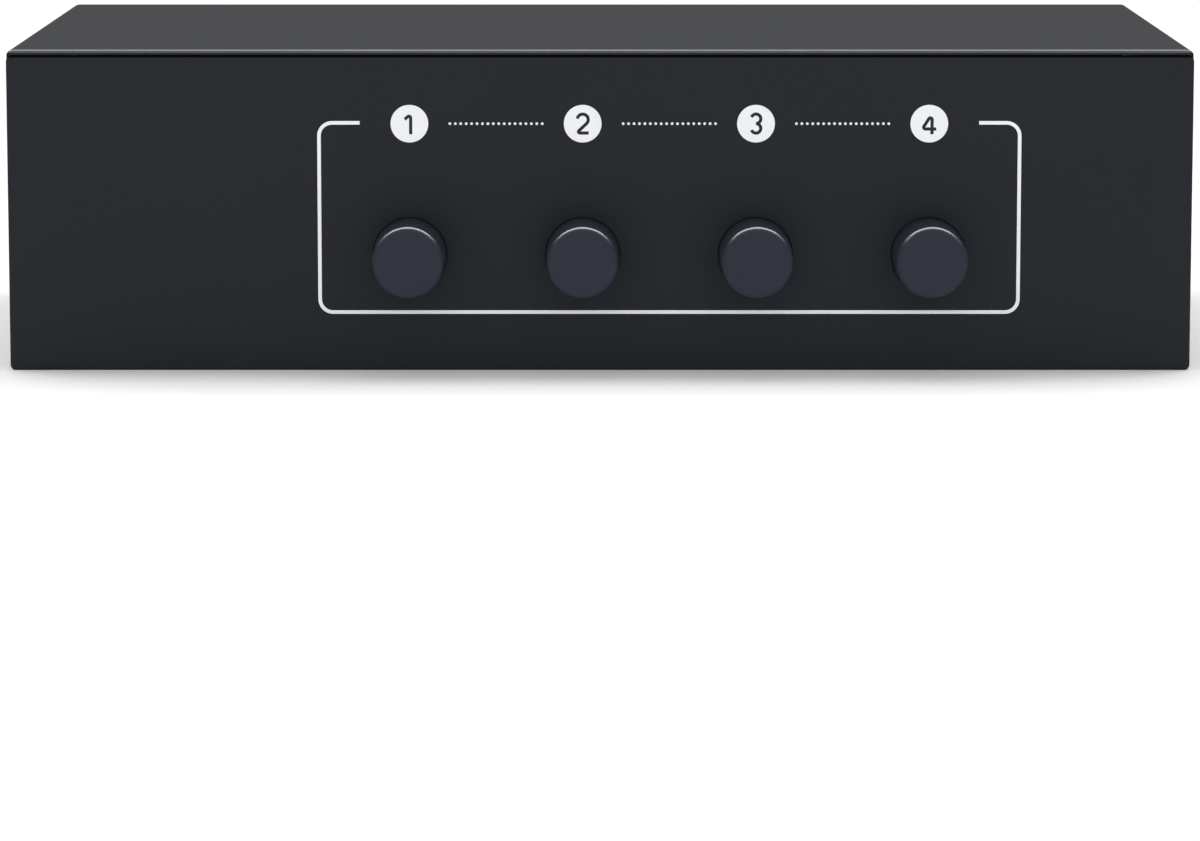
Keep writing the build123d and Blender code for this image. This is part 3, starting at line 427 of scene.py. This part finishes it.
nickel = turned_nickel()
black_steel = plated(
    "black_steel", (0.03, 0.03, 0.03), (0.05, 0.05, 0.048),
    rough=0.26, mark=0.2 * MM, depth=0.001 * MM,
)
zinc_steel = plated(
    "zinc_steel", (0.5, 0.5, 0.47), (0.62, 0.61, 0.57),
    rough=0.32, mark=0.1 * MM, depth=0.002 * MM, stretch=(14, 1, 1),
)
tinned_brass = plated(
    "tinned_brass", (0.62, 0.56, 0.4), (0.72, 0.67, 0.52),
    rough=0.24, mark=0.1 * MM, depth=0.001 * MM, stretch=(1, 8, 1),
)
CONTACT_SHADE = 3 * MM  # the painted shade on a contact is full this far behind its mouth


def contact_metal():
    """Tinned brass, bright at the mouth of a socket and painted dark further in: painted shade inside the
    bore.
    """
    finish = Finish("contact_metal", Metallic=1.0)
    depth = (finish.axes()[1] * -1 + float(reach("rca_centre_contacts", 1)[1])) * (1 / CONTACT_SHADE)
    inside = depth.combine("MINIMUM", 1.0)
    turned = finish.grain(0.1 * MM, detail=3.0, stretch=(6, 1, 6))
    finish.feed({
        # painted shade: the colour darkens with depth into the socket
        "Base Color": finish.blend(inside, (0.16, 0.15, 0.12), (0.008, 0.008, 0.007)),
        "Roughness": 0.35 + 0.1 * turned,
        "Normal": finish.relief(turned, 0.001 * MM),
    })
    return finish.material


contact_brass = contact_metal()
spring_wire = plated(
    "spring_wire", (0.42, 0.42, 0.42), (0.56, 0.56, 0.55),
    rough=0.25, mark=0.08 * MM, depth=0.001 * MM,
)
print("made six metals")

# %% [markdown]
# ## The circuit board
#
# The board is woven glass under green varnish. Copper tracks lie below the varnish and show as lighter,
# slightly raised bands. Nobody needs to follow a circuit here, so a banded pattern that turns at right angles
# stands for the tracks.

# %% Board laminate
TRACK_BLOCK = 5 * MM  # the tracks keep one direction over a square of this size
TRACK_PITCH = 7 * MM


def laminate():
    finish = Finish("board_laminate", **{"Coat Weight": 0.4, "Coat Roughness": 0.15})
    cell = finish.add("ShaderNodeTexChecker", {}, {"Vector": finish.place, "Scale": 1 / TRACK_BLOCK}, "Fac")
    waves = {"Vector": finish.place, "Scale": 1 / TRACK_PITCH}
    along = finish.add("ShaderNodeTexWave", {"bands_direction": "X"}, waves, "Fac")
    across = finish.add("ShaderNodeTexWave", {"bands_direction": "Y"}, waves, "Fac")
    tracks = (cell * along + (1 - cell) * across).combine("GREATER_THAN", 0.6)
    finish.feed({
        "Base Color": finish.blend(tracks, (0.008, 0.05, 0.022), (0.02, 0.12, 0.05)),
        "Roughness": 0.35 + 0.1 * finish.grain(0.4 * MM),
        "Normal": finish.relief(tracks, 0.03 * MM),
    })
    return finish.material


board_laminate = laminate()
print("made", board_laminate.name)

# %% [markdown]
# ## Dressing the fixed parts
#
# A fixed part keeps its shape and gets its material by name. The list goes from the first letters of a
# part's name to a finish, so the parts of all five socket groups are dressed by one line.

# %% Finish of each part
DRESS = {
    "top_cover": cover_coat,
    "chassis_tray": case_coat,
    "cover_screws": black_steel,
    "panel_screws": black_steel,
    "button_cap": button_plastic,
    "rca_housing": block_plastic,
    "rca_shells": nickel,
    "rca_white": white_plastic,
    "rca_red": red_plastic,
    "rca_centre": contact_brass,
    "phone_jack_contacts": tinned_brass,
    "phone_jack": barrel_plastic,
    "switch_pins": tinned_brass,
    "plunger": switch_plastic,
    "switch_body": switch_plastic,
    "switch_frame": zinc_steel,
    "latch_bar": zinc_steel,
    "latch_spring": spring_wire,
    "return_spring": spring_wire,
    "board_standoffs": zinc_steel,
    "board_screws": zinc_steel,
    "main_board": board_laminate,
}


def dress(name, part):
    """Put the finish whose key begins the part's name, the longest such key, on every slot of the part."""
    key = max((k for k in DRESS if name.startswith(k)), key=len)
    part.data.materials.clear()
    part.data.materials.append(DRESS[key])


for name, part in nodes.items():
    dress(name, part)
print("dressed", len(nodes), "parts")

# %% [markdown]
# ## New surfaces from arrays
#
# The shapes that follow are all grids of points: a closed profile carried along a path, or a curve turned
# about an axis. numpy works out the whole grid at once, and each square of the grid becomes a face. Where a
# row of the grid shrinks to one point, as at the end of a stroke, its points are merged, which closes the
# surface.

# %% Grids into pieces
MERGE = 1e-7  # points closer than this become one


def grid_faces(rows, columns, wrap):
    """Corner numbers of every square of a grid. With wrap, the last column joins the first."""
    squares = columns if wrap else columns - 1
    row, column = np.meshgrid(np.arange(rows - 1), np.arange(squares), indexing="ij")
    beside = (column + 1) % columns
    here = row * columns
    ahead = here + columns
    corners = (here + column, here + beside, ahead + beside, ahead + column)
    return np.stack(corners, axis=-1).reshape(-1, 4)


def piece(name, points, faces, material, body="case", crease=40):
    """New object on a body, from points of shape (n, 3) and faces of shape (m, 4).

    Edges sharper than crease, in degrees, stay sharp.
    """
    mesh = bpy.data.meshes.new(name)
    mesh.vertices.add(len(points))
    mesh.vertices.foreach_set("co", np.ascontiguousarray(points, dtype=np.float32).ravel())
    mesh.loops.add(faces.size)
    mesh.loops.foreach_set("vertex_index", faces.astype(np.int32).ravel())
    mesh.polygons.add(len(faces))
    mesh.polygons.foreach_set("loop_start", np.arange(0, faces.size, 4, dtype=np.int32))
    mesh.update(calc_edges=True)
    tidy = bmesh.new()
    tidy.from_mesh(mesh)
    bmesh.ops.remove_doubles(tidy, verts=tidy.verts, dist=MERGE)
    bmesh.ops.recalc_face_normals(tidy, faces=tidy.faces)
    tidy.to_mesh(mesh)
    tidy.free()
    mesh.shade_smooth()
    mesh.set_sharp_from_angle(angle=math.radians(crease))
    mesh.materials.append(material)
    made = bpy.data.objects.new(name, mesh)
    bpy.context.collection.objects.link(made)
    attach(made, body)
    return made


def joined(grids, wrap=True):
    """Many grids as one list of points and one list of faces. Each grid has shape (rows, columns, 3)."""
    points = np.concatenate([g.reshape(-1, 3) for g in grids])
    starts = np.cumsum([0] + [g.shape[0] * g.shape[1] for g in grids[:-1]])
    faces = np.concatenate([grid_faces(*g.shape[:2], wrap) + start for g, start in zip(grids, starts)])
    return points, faces


print("grid helpers ready")

# %% [markdown]
# ## Screen-printed lines
#
# The white lines are ink, squeezed through a screen onto the painted panel. Ink has a thickness of a few
# hundredths of a millimetre and soft shoulders, which is what makes a print look printed and not like a
# picture. A line is a low, flat-topped dome carried along a path; the path's corners are arcs.

# %% Ink and strokes
INK_THICK = 0.03 * MM
LINE_WIDE = 0.42 * MM


def screen_ink(name, dark, light):
    finish = Finish(name, **{"Specular IOR Level": 0.3})
    mesh_marks = finish.grain(0.1 * MM, detail=1.0)
    finish.feed({
        "Base Color": finish.blend(mesh_marks, dark, light),
        "Roughness": 0.5 + 0.15 * mesh_marks,
        "Normal": finish.relief(mesh_marks, 0.003 * MM),
    })
    return finish.material


white_ink = screen_ink("white_ink", (0.82, 0.83, 0.86), (0.9, 0.91, 0.94))
black_ink = screen_ink("black_ink", (0.008, 0.008, 0.009), (0.014, 0.014, 0.015))


def rounded_path(corners, radius, closed=False, steps=9):
    """Points (n, 2) along straight runs, with an arc of the radius in each corner.

    At a corner the arc's middle lies on the bisector, radius / sin(half the corner's angle) away.
    """
    corners = np.array(corners, dtype=float)
    count = len(corners)
    runs = []
    for i in range(count):
        here = corners[i]
        if not closed and i in (0, count - 1):
            runs.append(here[None, :])
            continue
        back = corners[i - 1] - here
        ahead = corners[(i + 1) % count] - here
        back /= np.linalg.norm(back)
        ahead /= np.linalg.norm(ahead)
        half = np.arccos(np.clip(back @ ahead, -1, 1)) / 2
        bisector = (back + ahead) / np.linalg.norm(back + ahead)
        centre = here + bisector * radius / np.sin(half)
        first = here + back * radius / np.tan(half) - centre
        last = here + ahead * radius / np.tan(half) - centre
        turn = np.linspace(0, 1, steps)[:, None] * (np.pi - 2 * half)
        side = last - first * np.cos(np.pi - 2 * half)
        runs.append(centre + first * np.cos(turn) + side / np.sin(np.pi - 2 * half) * np.sin(turn))
    path = np.concatenate(runs)
    return np.concatenate([path, path[:1]]) if closed else path


def stroke(path, width, thick=INK_THICK):
    """Grid of a line of ink over a path (n, 2) on the panel: (n, 8, 3) as across, up and lift.

    The profile is half a flattened circle: its shoulders are cos, its lift is the square root of sin.
    """
    ahead = np.gradient(path, axis=0)
    ahead /= np.linalg.norm(ahead, axis=1)[:, None]
    sideways = np.stack([-ahead[:, 1], ahead[:, 0]], axis=1)
    angle = np.linspace(0, np.pi, 7)
    offset = np.append(np.cos(angle) * width / 2, 0)
    lift = np.append(np.sqrt(np.abs(np.sin(angle))) * thick, 0)
    flat = path[:, None, :] + sideways[:, None, :] * offset[None, :, None]
    grid = np.concatenate([flat, np.broadcast_to(lift[None, :, None], flat.shape[:2] + (1,))], axis=2)
    ends = [np.broadcast_to(np.append(p, 0), (1, grid.shape[1], 3)) for p in (path[0], path[-1])]
    return np.concatenate([ends[0], grid, ends[1]])


def disc(centre, radius, thick=INK_THICK, around=48):
    """Grid of a printed dot: rings shrink to the middle, and the rim falls in two steps."""
    angle = np.arange(around) * 2 * np.pi / around
    share = np.array([0.0, 0.5, 1 - 0.6 * thick / radius, 1.0, 1.0, 0.0])
    lift = np.array([1.0, 1.0, 1.0, 0.4, 0.0, 0.0]) * thick
    x = centre[0] + radius * share[:, None] * np.cos(angle)
    z = centre[1] + radius * share[:, None] * np.sin(angle)
    return np.stack([x, z, np.broadcast_to(lift[:, None], x.shape)], axis=2)


def on_front(grid):
    """Places a grid of (across, up, lift) on the front panel, lift towards the reader."""
    return np.stack([grid[..., 0], front_face - grid[..., 2], grid[..., 1]], axis=-1)


def on_rear(grid):
    """Places a grid of (across, up, lift) on the rear panel, lift towards the reader."""
    return np.stack([grid[..., 0], rear_face + grid[..., 2], grid[..., 1]], axis=-1)


print("print helpers ready")

# %% [markdown]
# ## Print on the front
#
# A frame with round corners runs round the four buttons. Its top side is broken: numbered discs stand there,
# one above each button, joined by rows of small dots.

# %% Frame, discs and dots
FRAME_HALF = 40.45 * MM
FRAME_TOP = 28.8 * MM
FRAME_BOTTOM = 6.8 * MM
FRAME_ROUND = 1.5 * MM
STUB_START = 35.75 * MM  # the broken top side begins this far from the bank's middle
DISC_Z = 28.7 * MM
DISC_RADIUS = 2.18 * MM
DOTS = 18
DOT_PITCH = 0.627 * MM
DOT_RADIUS = 0.16 * MM

frame_path = rounded_path(
    [
        (bank_x - STUB_START, FRAME_TOP),
        (bank_x - FRAME_HALF, FRAME_TOP),
        (bank_x - FRAME_HALF, FRAME_BOTTOM),
        (bank_x + FRAME_HALF, FRAME_BOTTOM),
        (bank_x + FRAME_HALF, FRAME_TOP),
        (bank_x + STUB_START, FRAME_TOP),
    ],
    FRAME_ROUND,
)
piece("front_frame_print", *joined([on_front(stroke(frame_path, LINE_WIDE))]), white_ink)

discs = [on_front(disc((x, DISC_Z), DISC_RADIUS)) for x in buttons[:, 0]]
piece("number_discs", *joined(discs), white_ink)

between = (buttons[1:, 0] + buttons[:-1, 0]) / 2
dot_row = (np.arange(DOTS) - (DOTS - 1) / 2) * DOT_PITCH
dots = [on_front(disc((x, DISC_Z), DOT_RADIUS, around=12)) for x in (between[:, None] + dot_row).ravel()]
piece("dotted_lines", *joined(dots), white_ink)
print("printed", len(discs), "discs and", len(dots), "dots")

# %% [markdown]
# ## Print on the back
#
# A ruled table surrounds the sockets: one column for each group, and a narrow row below for its number. The
# upright lines stop inside the level ones, a hair lower, so that no two layers of ink share a surface.

# %% Ruled table
TABLE_TOP = 33.3 * MM
TABLE_ROW = 5.3 * MM
TABLE_BOTTOM = 2.1 * MM
TABLE_ROUND = 0.5 * MM
REAR_LINE = 0.4 * MM
HAIR = 0.95  # each further layer of ink is this much as high as the one it meets

table_half = section_pitch * len(SECTIONS) / 2
outline = rounded_path(
    [
        (-table_half, TABLE_BOTTOM),
        (table_half, TABLE_BOTTOM),
        (table_half, TABLE_TOP),
        (-table_half, TABLE_TOP),
    ],
    TABLE_ROUND,
    closed=True,
)
rules = [stroke(outline, REAR_LINE)]
inner_ink = INK_THICK * HAIR
rules.append(stroke(np.array([(-table_half, TABLE_ROW), (table_half, TABLE_ROW)]), REAR_LINE, inner_ink))
for i in range(1, len(SECTIONS)):
    x = table_half - i * section_pitch
    rules.append(stroke(np.array([(x, TABLE_BOTTOM), (x, TABLE_TOP)]), REAR_LINE, inner_ink * HAIR))
piece("rear_table_print", *joined([on_rear(r) for r in rules]), white_ink)
print("ruled", len(rules), "lines")

# %% [markdown]
# ## Numbers
#
# The numbers are drawn with one pen of even width, as on a ruled drawing, so each is a few of the same ink
# strokes on its own small set of arcs and lines. Their sizes are shares of the number's height, measured
# from its lower edge. Each number is a list of paths, and a path that turns a sharp corner is rounded there
# a little, because a printing screen can't hold a perfect corner.

# %% Numbers on the panels
PEN = 0.16  # width of the pen, as a share of a number's height
NUMBER_HIGH = 2.45 * MM
REAR_NUMBER_HIGH = 2.0 * MM
NUMBER_INK = INK_THICK / 2
NUMBER_BASE = INK_THICK * 0.9  # a number on a disc starts just inside the disc's ink


def arc(middle_point, radius, start, end, steps=22):
    """Points (n, 2) on a circle, from one angle to another in degrees."""
    angle = np.radians(np.linspace(start, end, steps))
    return np.array(middle_point) + radius * np.stack([np.cos(angle), np.sin(angle)], axis=1)


def number_paths(number):
    """Paths of a number from 1 to 4, about 1 high, with its middle at across 0."""
    if number == 1:
        return [rounded_path([(-0.22, 0.7), (0.06, 0.95), (0.06, 0.0)], 0.08)]
    if number == 2:
        bowl = arc((0, 0.69), 0.26, 170, -40)
        foot = rounded_path([bowl[-1], (-0.29, 0.06), (0.28, 0.06)], 0.06)
        return [np.concatenate([bowl, foot[1:]])]
    if number == 3:
        upper = arc((0, 0.73), 0.225, 160, -90)
        lower = arc((0, 0.28), 0.225, 90, -160)
        return [upper, lower]
    return [rounded_path([(0.13, 0.0), (0.13, 0.97), (-0.33, 0.25), (0.33, 0.25)], 0.08)]


def number_grids(number, centre, height, thick, base=0.0, mirror=1):
    """Ink strokes of a number at a centre (across, up), its ink standing from base, as (across, up, lift)."""
    grids = [stroke(path - (0, 0.5), PEN, thick / height) * height for path in number_paths(number)]
    return [grid * (mirror, 1, 1) + (centre[0], centre[1], base) for grid in grids]


front_numbers = []
for number, x in enumerate(buttons[:, 0], start=1):
    front_numbers += number_grids(number, (x, DISC_Z), NUMBER_HIGH, NUMBER_INK, base=NUMBER_BASE)
piece("disc_numbers", *joined([on_front(g) for g in front_numbers]), black_ink)

row_middle = (TABLE_ROW + TABLE_BOTTOM) / 2
rear_numbers = []
for i, number in enumerate((4, 3, 2, 1)):
    x = table_half - (i + 0.5) * section_pitch
    rear_numbers += number_grids(number, (x, row_middle), REAR_NUMBER_HIGH, inner_ink, mirror=-1)
piece("rear_numbers", *joined([on_rear(g) for g in rear_numbers]), white_ink)
print("printed", len(front_numbers) + len(rear_numbers), "strokes of numbers")

# %% [markdown]
# ## An arrow for the output
#
# The last column is the output. An arrow that points out of the table says so without a word. It is two
# strokes: a shaft and a bent head.

# %% Output arrow
ARROW_HALF = 2.6 * MM
ARROW_WING = 0.8 * MM
ARROW_LINE = 0.3 * MM

arrow_x = -table_half + section_pitch / 2
shaft = np.array([(arrow_x + ARROW_HALF, row_middle), (arrow_x - ARROW_HALF, row_middle)])
head = np.array([
    (arrow_x - ARROW_HALF + ARROW_WING, row_middle + ARROW_WING),
    (arrow_x - ARROW_HALF, row_middle),
    (arrow_x - ARROW_HALF + ARROW_WING, row_middle - ARROW_WING),
])
arrow = [on_rear(stroke(shaft, ARROW_LINE, inner_ink)), on_rear(stroke(head, ARROW_LINE))]
piece("output_arrow", *joined(arrow), white_ink)
print("arrow at", round(arrow_x / MM, 2))

# %% [markdown]
# ## Heads of the panel screws
#
# Each block of sockets is held by a black pan-head screw. A pan head is a low dome with steep sides, and the
# driver's cross leaves four round lobes between its arms. The rings of the grid follow the outline of the
# cross: outside it they widen to the round rim, inside it they shrink to the axis and drop. That keeps the
# edge of the cross crisp with few faces.
#
# The cross is a star: every ray from the axis leaves it once, either through the end of an arm or through its
# side. So the outline is one radius for each angle, the smaller of the two, and a sum of high powers rounds
# the corners where they meet. The recess is painted nearly black, as painted shade.

# %% Pan heads with a driver's cross
RECESS_LONG = 1.4 * MM  # from the axis to the end of an arm
RECESS_HALF = 0.38 * MM  # half the width of an arm
RECESS_CORE = 0.6 * MM  # the lobes stay this far from the axis
RECESS_DEEP = 1.6 * MM
RECESS_TURN = math.radians(34)
RECESS_ROUND = 7.0  # power of the sums below: a higher one makes sharper corners
DOME_POWER = 2.8  # a higher one makes a flatter head with steeper sides
SHANK_RADIUS = 1.35 * MM
SHADE_REACH = 1.1 * RECESS_LONG  # painted shade fills the recess this far from the axis
SHADE_TOP = 0.82  # and below this share of the head's height

screw_low, screw_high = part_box("panel_screws")
head_high = screw_high[1] - rear_face
head_radius = (screw_high[2] - screw_low[2]) / 2
screw_z = (screw_high[2] + screw_low[2]) / 2
screw_xs = screw_high[0] - head_radius - np.arange(len(SECTIONS)) * section_pitch


def cross_outline(angle):
    """Radius of the cross at an angle from one of its arms.

    long / cos(a) is the end of the arm and half / sin(a) its side, with a folded into one eighth of a turn.
    """
    a = np.abs((angle + np.pi / 4) % (np.pi / 2) - np.pi / 4)
    end = RECESS_LONG / np.cos(a)
    side = RECESS_HALF / np.maximum(np.sin(a), 0.05)
    arm = (end**-RECESS_ROUND + side**-RECESS_ROUND) ** (-1 / RECESS_ROUND)
    return (arm**RECESS_ROUND + RECESS_CORE**RECESS_ROUND) ** (1 / RECESS_ROUND)


def pan_head(x, rings=26, around=96):
    """Grid of a screw: rings from the axis to the rim, closed behind by its shank.

    The dome's height is high * (1 - (r / radius) ** DOME_POWER) ** 0.5.
    """
    angle = np.arange(around) * 2 * np.pi / around - RECESS_TURN
    edge = cross_outline(angle + RECESS_TURN)
    share = np.array([0.0, 0.3, 0.6, 0.85, 0.9, 0.96])[:, None]
    fall = np.array([1.0, 0.8, 0.6, 0.45, 0.36, 0.08])[:, None]
    out = np.sin(np.linspace(0, np.pi / 2, rings))[:, None]
    dome_r = edge + (head_radius - edge) * out
    dome = head_high * np.sqrt(np.maximum(1 - (dome_r / head_radius) ** DOME_POWER, 0))
    floor_lift = dome[0] * (1 - fall) + (head_high - RECESS_DEEP) * fall
    ones = np.ones((3, around))
    radius = np.concatenate([edge * share, dome_r, ones * [[SHANK_RADIUS], [SHANK_RADIUS], [0]]])
    lift = np.concatenate([floor_lift, dome, ones * [[0.0], [1.0], [1.0]] * (screw_low[1] - rear_face)])
    return np.stack([x + radius * np.cos(angle), rear_face + lift, screw_z + radius * np.sin(angle)], axis=2)


def screw_steel():
    """Blackened steel, with painted shade in the recess: near an axis, and well below the top of the dome."""
    finish = Finish("screw_steel", Metallic=1.0)
    near = finish.from_axes(screw_xs[0], section_pitch, screw_z).combine("LESS_THAN", SHADE_REACH)
    below = finish.axes()[1].combine("LESS_THAN", float(rear_face + SHADE_TOP * head_high))
    wear = finish.grain(1.2 * MM)
    finish.feed({
        # painted shade: the recess is nearly black
        "Base Color": finish.blend(near * below, (0.11, 0.11, 0.108), (0.002, 0.002, 0.002)),
        "Roughness": 0.24 + 0.1 * wear,
    })
    return finish.material


screws = piece("pan_head_screws", *joined([pan_head(x) for x in screw_xs]), screw_steel(), crease=50)
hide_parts("panel_screws")
print(len(screw_xs), "screws, heads", round(2 * head_radius / MM, 1), "mm across")

# %% [markdown]
# ## Coil springs
#
# A return spring sits behind each button, and a smaller one pushes the latch bar. Spring wire is round, so a
# circle is carried round a helix. The end turns lie close together, as they are ground flat on a real
# spring: the helix climbs slowly at both ends and faster between them. On the real switch a return spring is
# squashed towards the frame as its button goes in; each coil here is built once, at the length of its
# spring's box. The latch spring keeps its length, though its bar slides.

# %% Springs
RETURN_WIRE = 0.5 * MM
LATCH_WIRE = 0.3 * MM
COIL_TURNS = 5
TURN_STEPS = 28
END_EASE = 0.06  # how far the climb strays from an even one, as a share of the free length


def coil(low, high, axis, wire, turns, around=10):
    """Grid of a spring that fills a box (low, high) along an axis, 0 for X or 1 for Y. Wire is its diameter.

    The wire climbs by t - END_EASE * sin(2 pi t) of the free length, so that both ends climb slowly.
    """
    low, high = np.array(low), np.array(high)
    centre = (low + high) / 2
    free = high[axis] - low[axis] - wire
    radius = (high[2] - low[2] - wire) / 2
    t = np.linspace(0, 1, turns * TURN_STEPS + 1)[:, None]
    turn = 2 * np.pi * turns * t
    along = np.eye(3)[axis]
    side = np.eye(3)[1 - axis]
    up = np.eye(3)[2]
    out = np.cos(turn) * side + np.sin(turn) * up
    climb = low[axis] - centre[axis] + wire / 2 + free * (t - END_EASE * np.sin(2 * np.pi * t))
    path = centre + out * radius + along * climb
    angle = (np.arange(around) * 2 * np.pi / around)[None, :, None]
    ring = out[:, None, :] * np.cos(angle) + along * np.sin(angle)
    grid = path[:, None, :] + ring * wire / 2
    ends = [np.broadcast_to(p, (1, around, 3)) for p in (path[0], path[-1])]
    return np.concatenate([ends[0], grid, ends[1]])


for number in (1, 2, 3, 4):
    low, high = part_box(f"return_spring_{number}")
    wound = joined([coil(low, high, 1, RETURN_WIRE, COIL_TURNS)])
    spring = piece(f"return_coil_{number}", *wound, spring_wire)
    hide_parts(f"return_spring_{number}")
    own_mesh(spring)

low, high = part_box("latch_spring")
spring = piece("latch_coil", *joined([coil(low, high, 0, LATCH_WIRE, COIL_TURNS)]), spring_wire)
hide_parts("latch_spring")
print("coiled five springs")

# %% [markdown]
# ## The floor
#
# The box stands on a plain white table. Near the box the table is a surface that takes light and shade, so
# the box gets a soft shadow. Further out it turns into plain white light, so that no edge of the table shows.

# %% Floor
FLOOR_HALF = 6.0
LIT_NEAR = 0.1
LIT_FAR = 0.3


def floor_material():
    """White table near the object. It turns into plain white light as the distance from the object grows."""
    finish = Finish("pale_floor", **{"Specular IOR Level": 0.2, "Emission Strength": 1.0})
    radius = finish.add("ShaderNodeVectorMath", {"operation": "LENGTH"}, {0: finish.place}, "Value")
    limits = {"Value": radius, "From Min": LIT_NEAR, "From Max": LIT_FAR}
    far = finish.add("ShaderNodeMapRange", {"interpolation_type": "SMOOTHSTEP"}, limits)
    speckle = finish.grain(0.3, detail=1.0)
    finish.feed({
        "Base Color": finish.blend(far, (0.95, 0.95, 0.955), (0.0, 0.0, 0.0)),
        "Roughness": 0.55 + 0.1 * speckle,
        "Emission Color": finish.blend(far, (0.0, 0.0, 0.0), (1.0, 1.0, 1.0)),
    })
    return finish.material


corner = np.array([(-1, -1, 0), (1, -1, 0), (1, 1, 0), (-1, 1, 0)], dtype=float) * FLOOR_HALF
floor_mesh = bpy.data.meshes.new("floor")
floor_mesh.from_pydata(corner.tolist(), [], [(0, 1, 2, 3)])
floor_mesh.materials.append(floor_material())
floor = bpy.data.objects.new("floor", floor_mesh)
bpy.context.collection.objects.link(floor)
print("floor", 2 * FLOOR_HALF, "m wide")

# %% [markdown]
# ## The studio and its lamps
#
# Polished metal shows nothing but its surroundings, so the sky has bands: it is bright at the level of the
# table and darker above. Only the light on the object comes from it, and the camera itself sees plain white.
# Three soft lamps do the rest: a narrow strip right above the box, a broad one like a window in front, and
# another one high up behind, which lights the back without a glare on the top.

# %% World and lamps
SKY = ((0.0, 0.46), (0.12, 0.46), (0.25, 0.25), (0.45, 0.2))  # height, brightness; the last one goes on
LAMPS = (  # name, place, size across and up, all in metres, and power in watts
    ("overhead", (0, 0, 1.1), (2.6, 0.3), 5.8),
    ("front_window", (0, -1.6, 1.1), (4.0, 1.6), 25),
    ("rear_window", (0, 0.8, 1.9), (3.4, 1.2), 42),
)


def studio_world():
    """Sky by height above the horizon: bright low down and darker above, and plain white to the camera."""
    world = bpy.data.worlds.new("studio")
    world.use_nodes = True
    tree = world.node_tree
    background = tree.nodes["Background"]
    direction = tree.nodes.new("ShaderNodeTexCoord")
    split = tree.nodes.new("ShaderNodeSeparateXYZ")
    bands = tree.nodes.new("ShaderNodeValToRGB")
    ray = tree.nodes.new("ShaderNodeLightPath")
    pick = tree.nodes.new("ShaderNodeMix")
    pick.data_type = "RGBA"
    ramp = bands.color_ramp
    while len(ramp.elements) < len(SKY):
        ramp.elements.new(0.5)
    for element, (height, level) in zip(ramp.elements, SKY):
        element.position = height
        element.color = (level, level, level, 1)
    tree.links.new(direction.outputs["Generated"], split.inputs[0])
    tree.links.new(split.outputs["Z"], bands.inputs[0])
    tree.links.new(ray.outputs["Is Camera Ray"], pick.inputs[MIX_SHARE])
    tree.links.new(bands.outputs[0], pick.inputs[MIX_FIRST])
    pick.inputs[MIX_SECOND].default_value = (1, 1, 1, 1)
    tree.links.new(pick.outputs[MIX_OUT], background.inputs[0])
    bpy.context.scene.world = world


def soft_lamp(name, place, size, power):
    """Oblong lamp at a place, facing the middle of the object. Size is across and up, power is in watts."""
    lamp = bpy.data.lights.new(name, "AREA")
    lamp.shape = "RECTANGLE"
    lamp.size, lamp.size_y = size
    lamp.energy = power
    made = bpy.data.objects.new(name, lamp)
    made.location = place
    made.rotation_euler = (math.atan2(-place[1], place[2]), 0, 0)
    bpy.context.collection.objects.link(made)


studio_world()
for name, place, size, power in LAMPS:
    soft_lamp(name, place, size, power)
bpy.context.scene.view_settings.view_transform = "Standard"
print("studio lit by", len(LAMPS), "lamps")
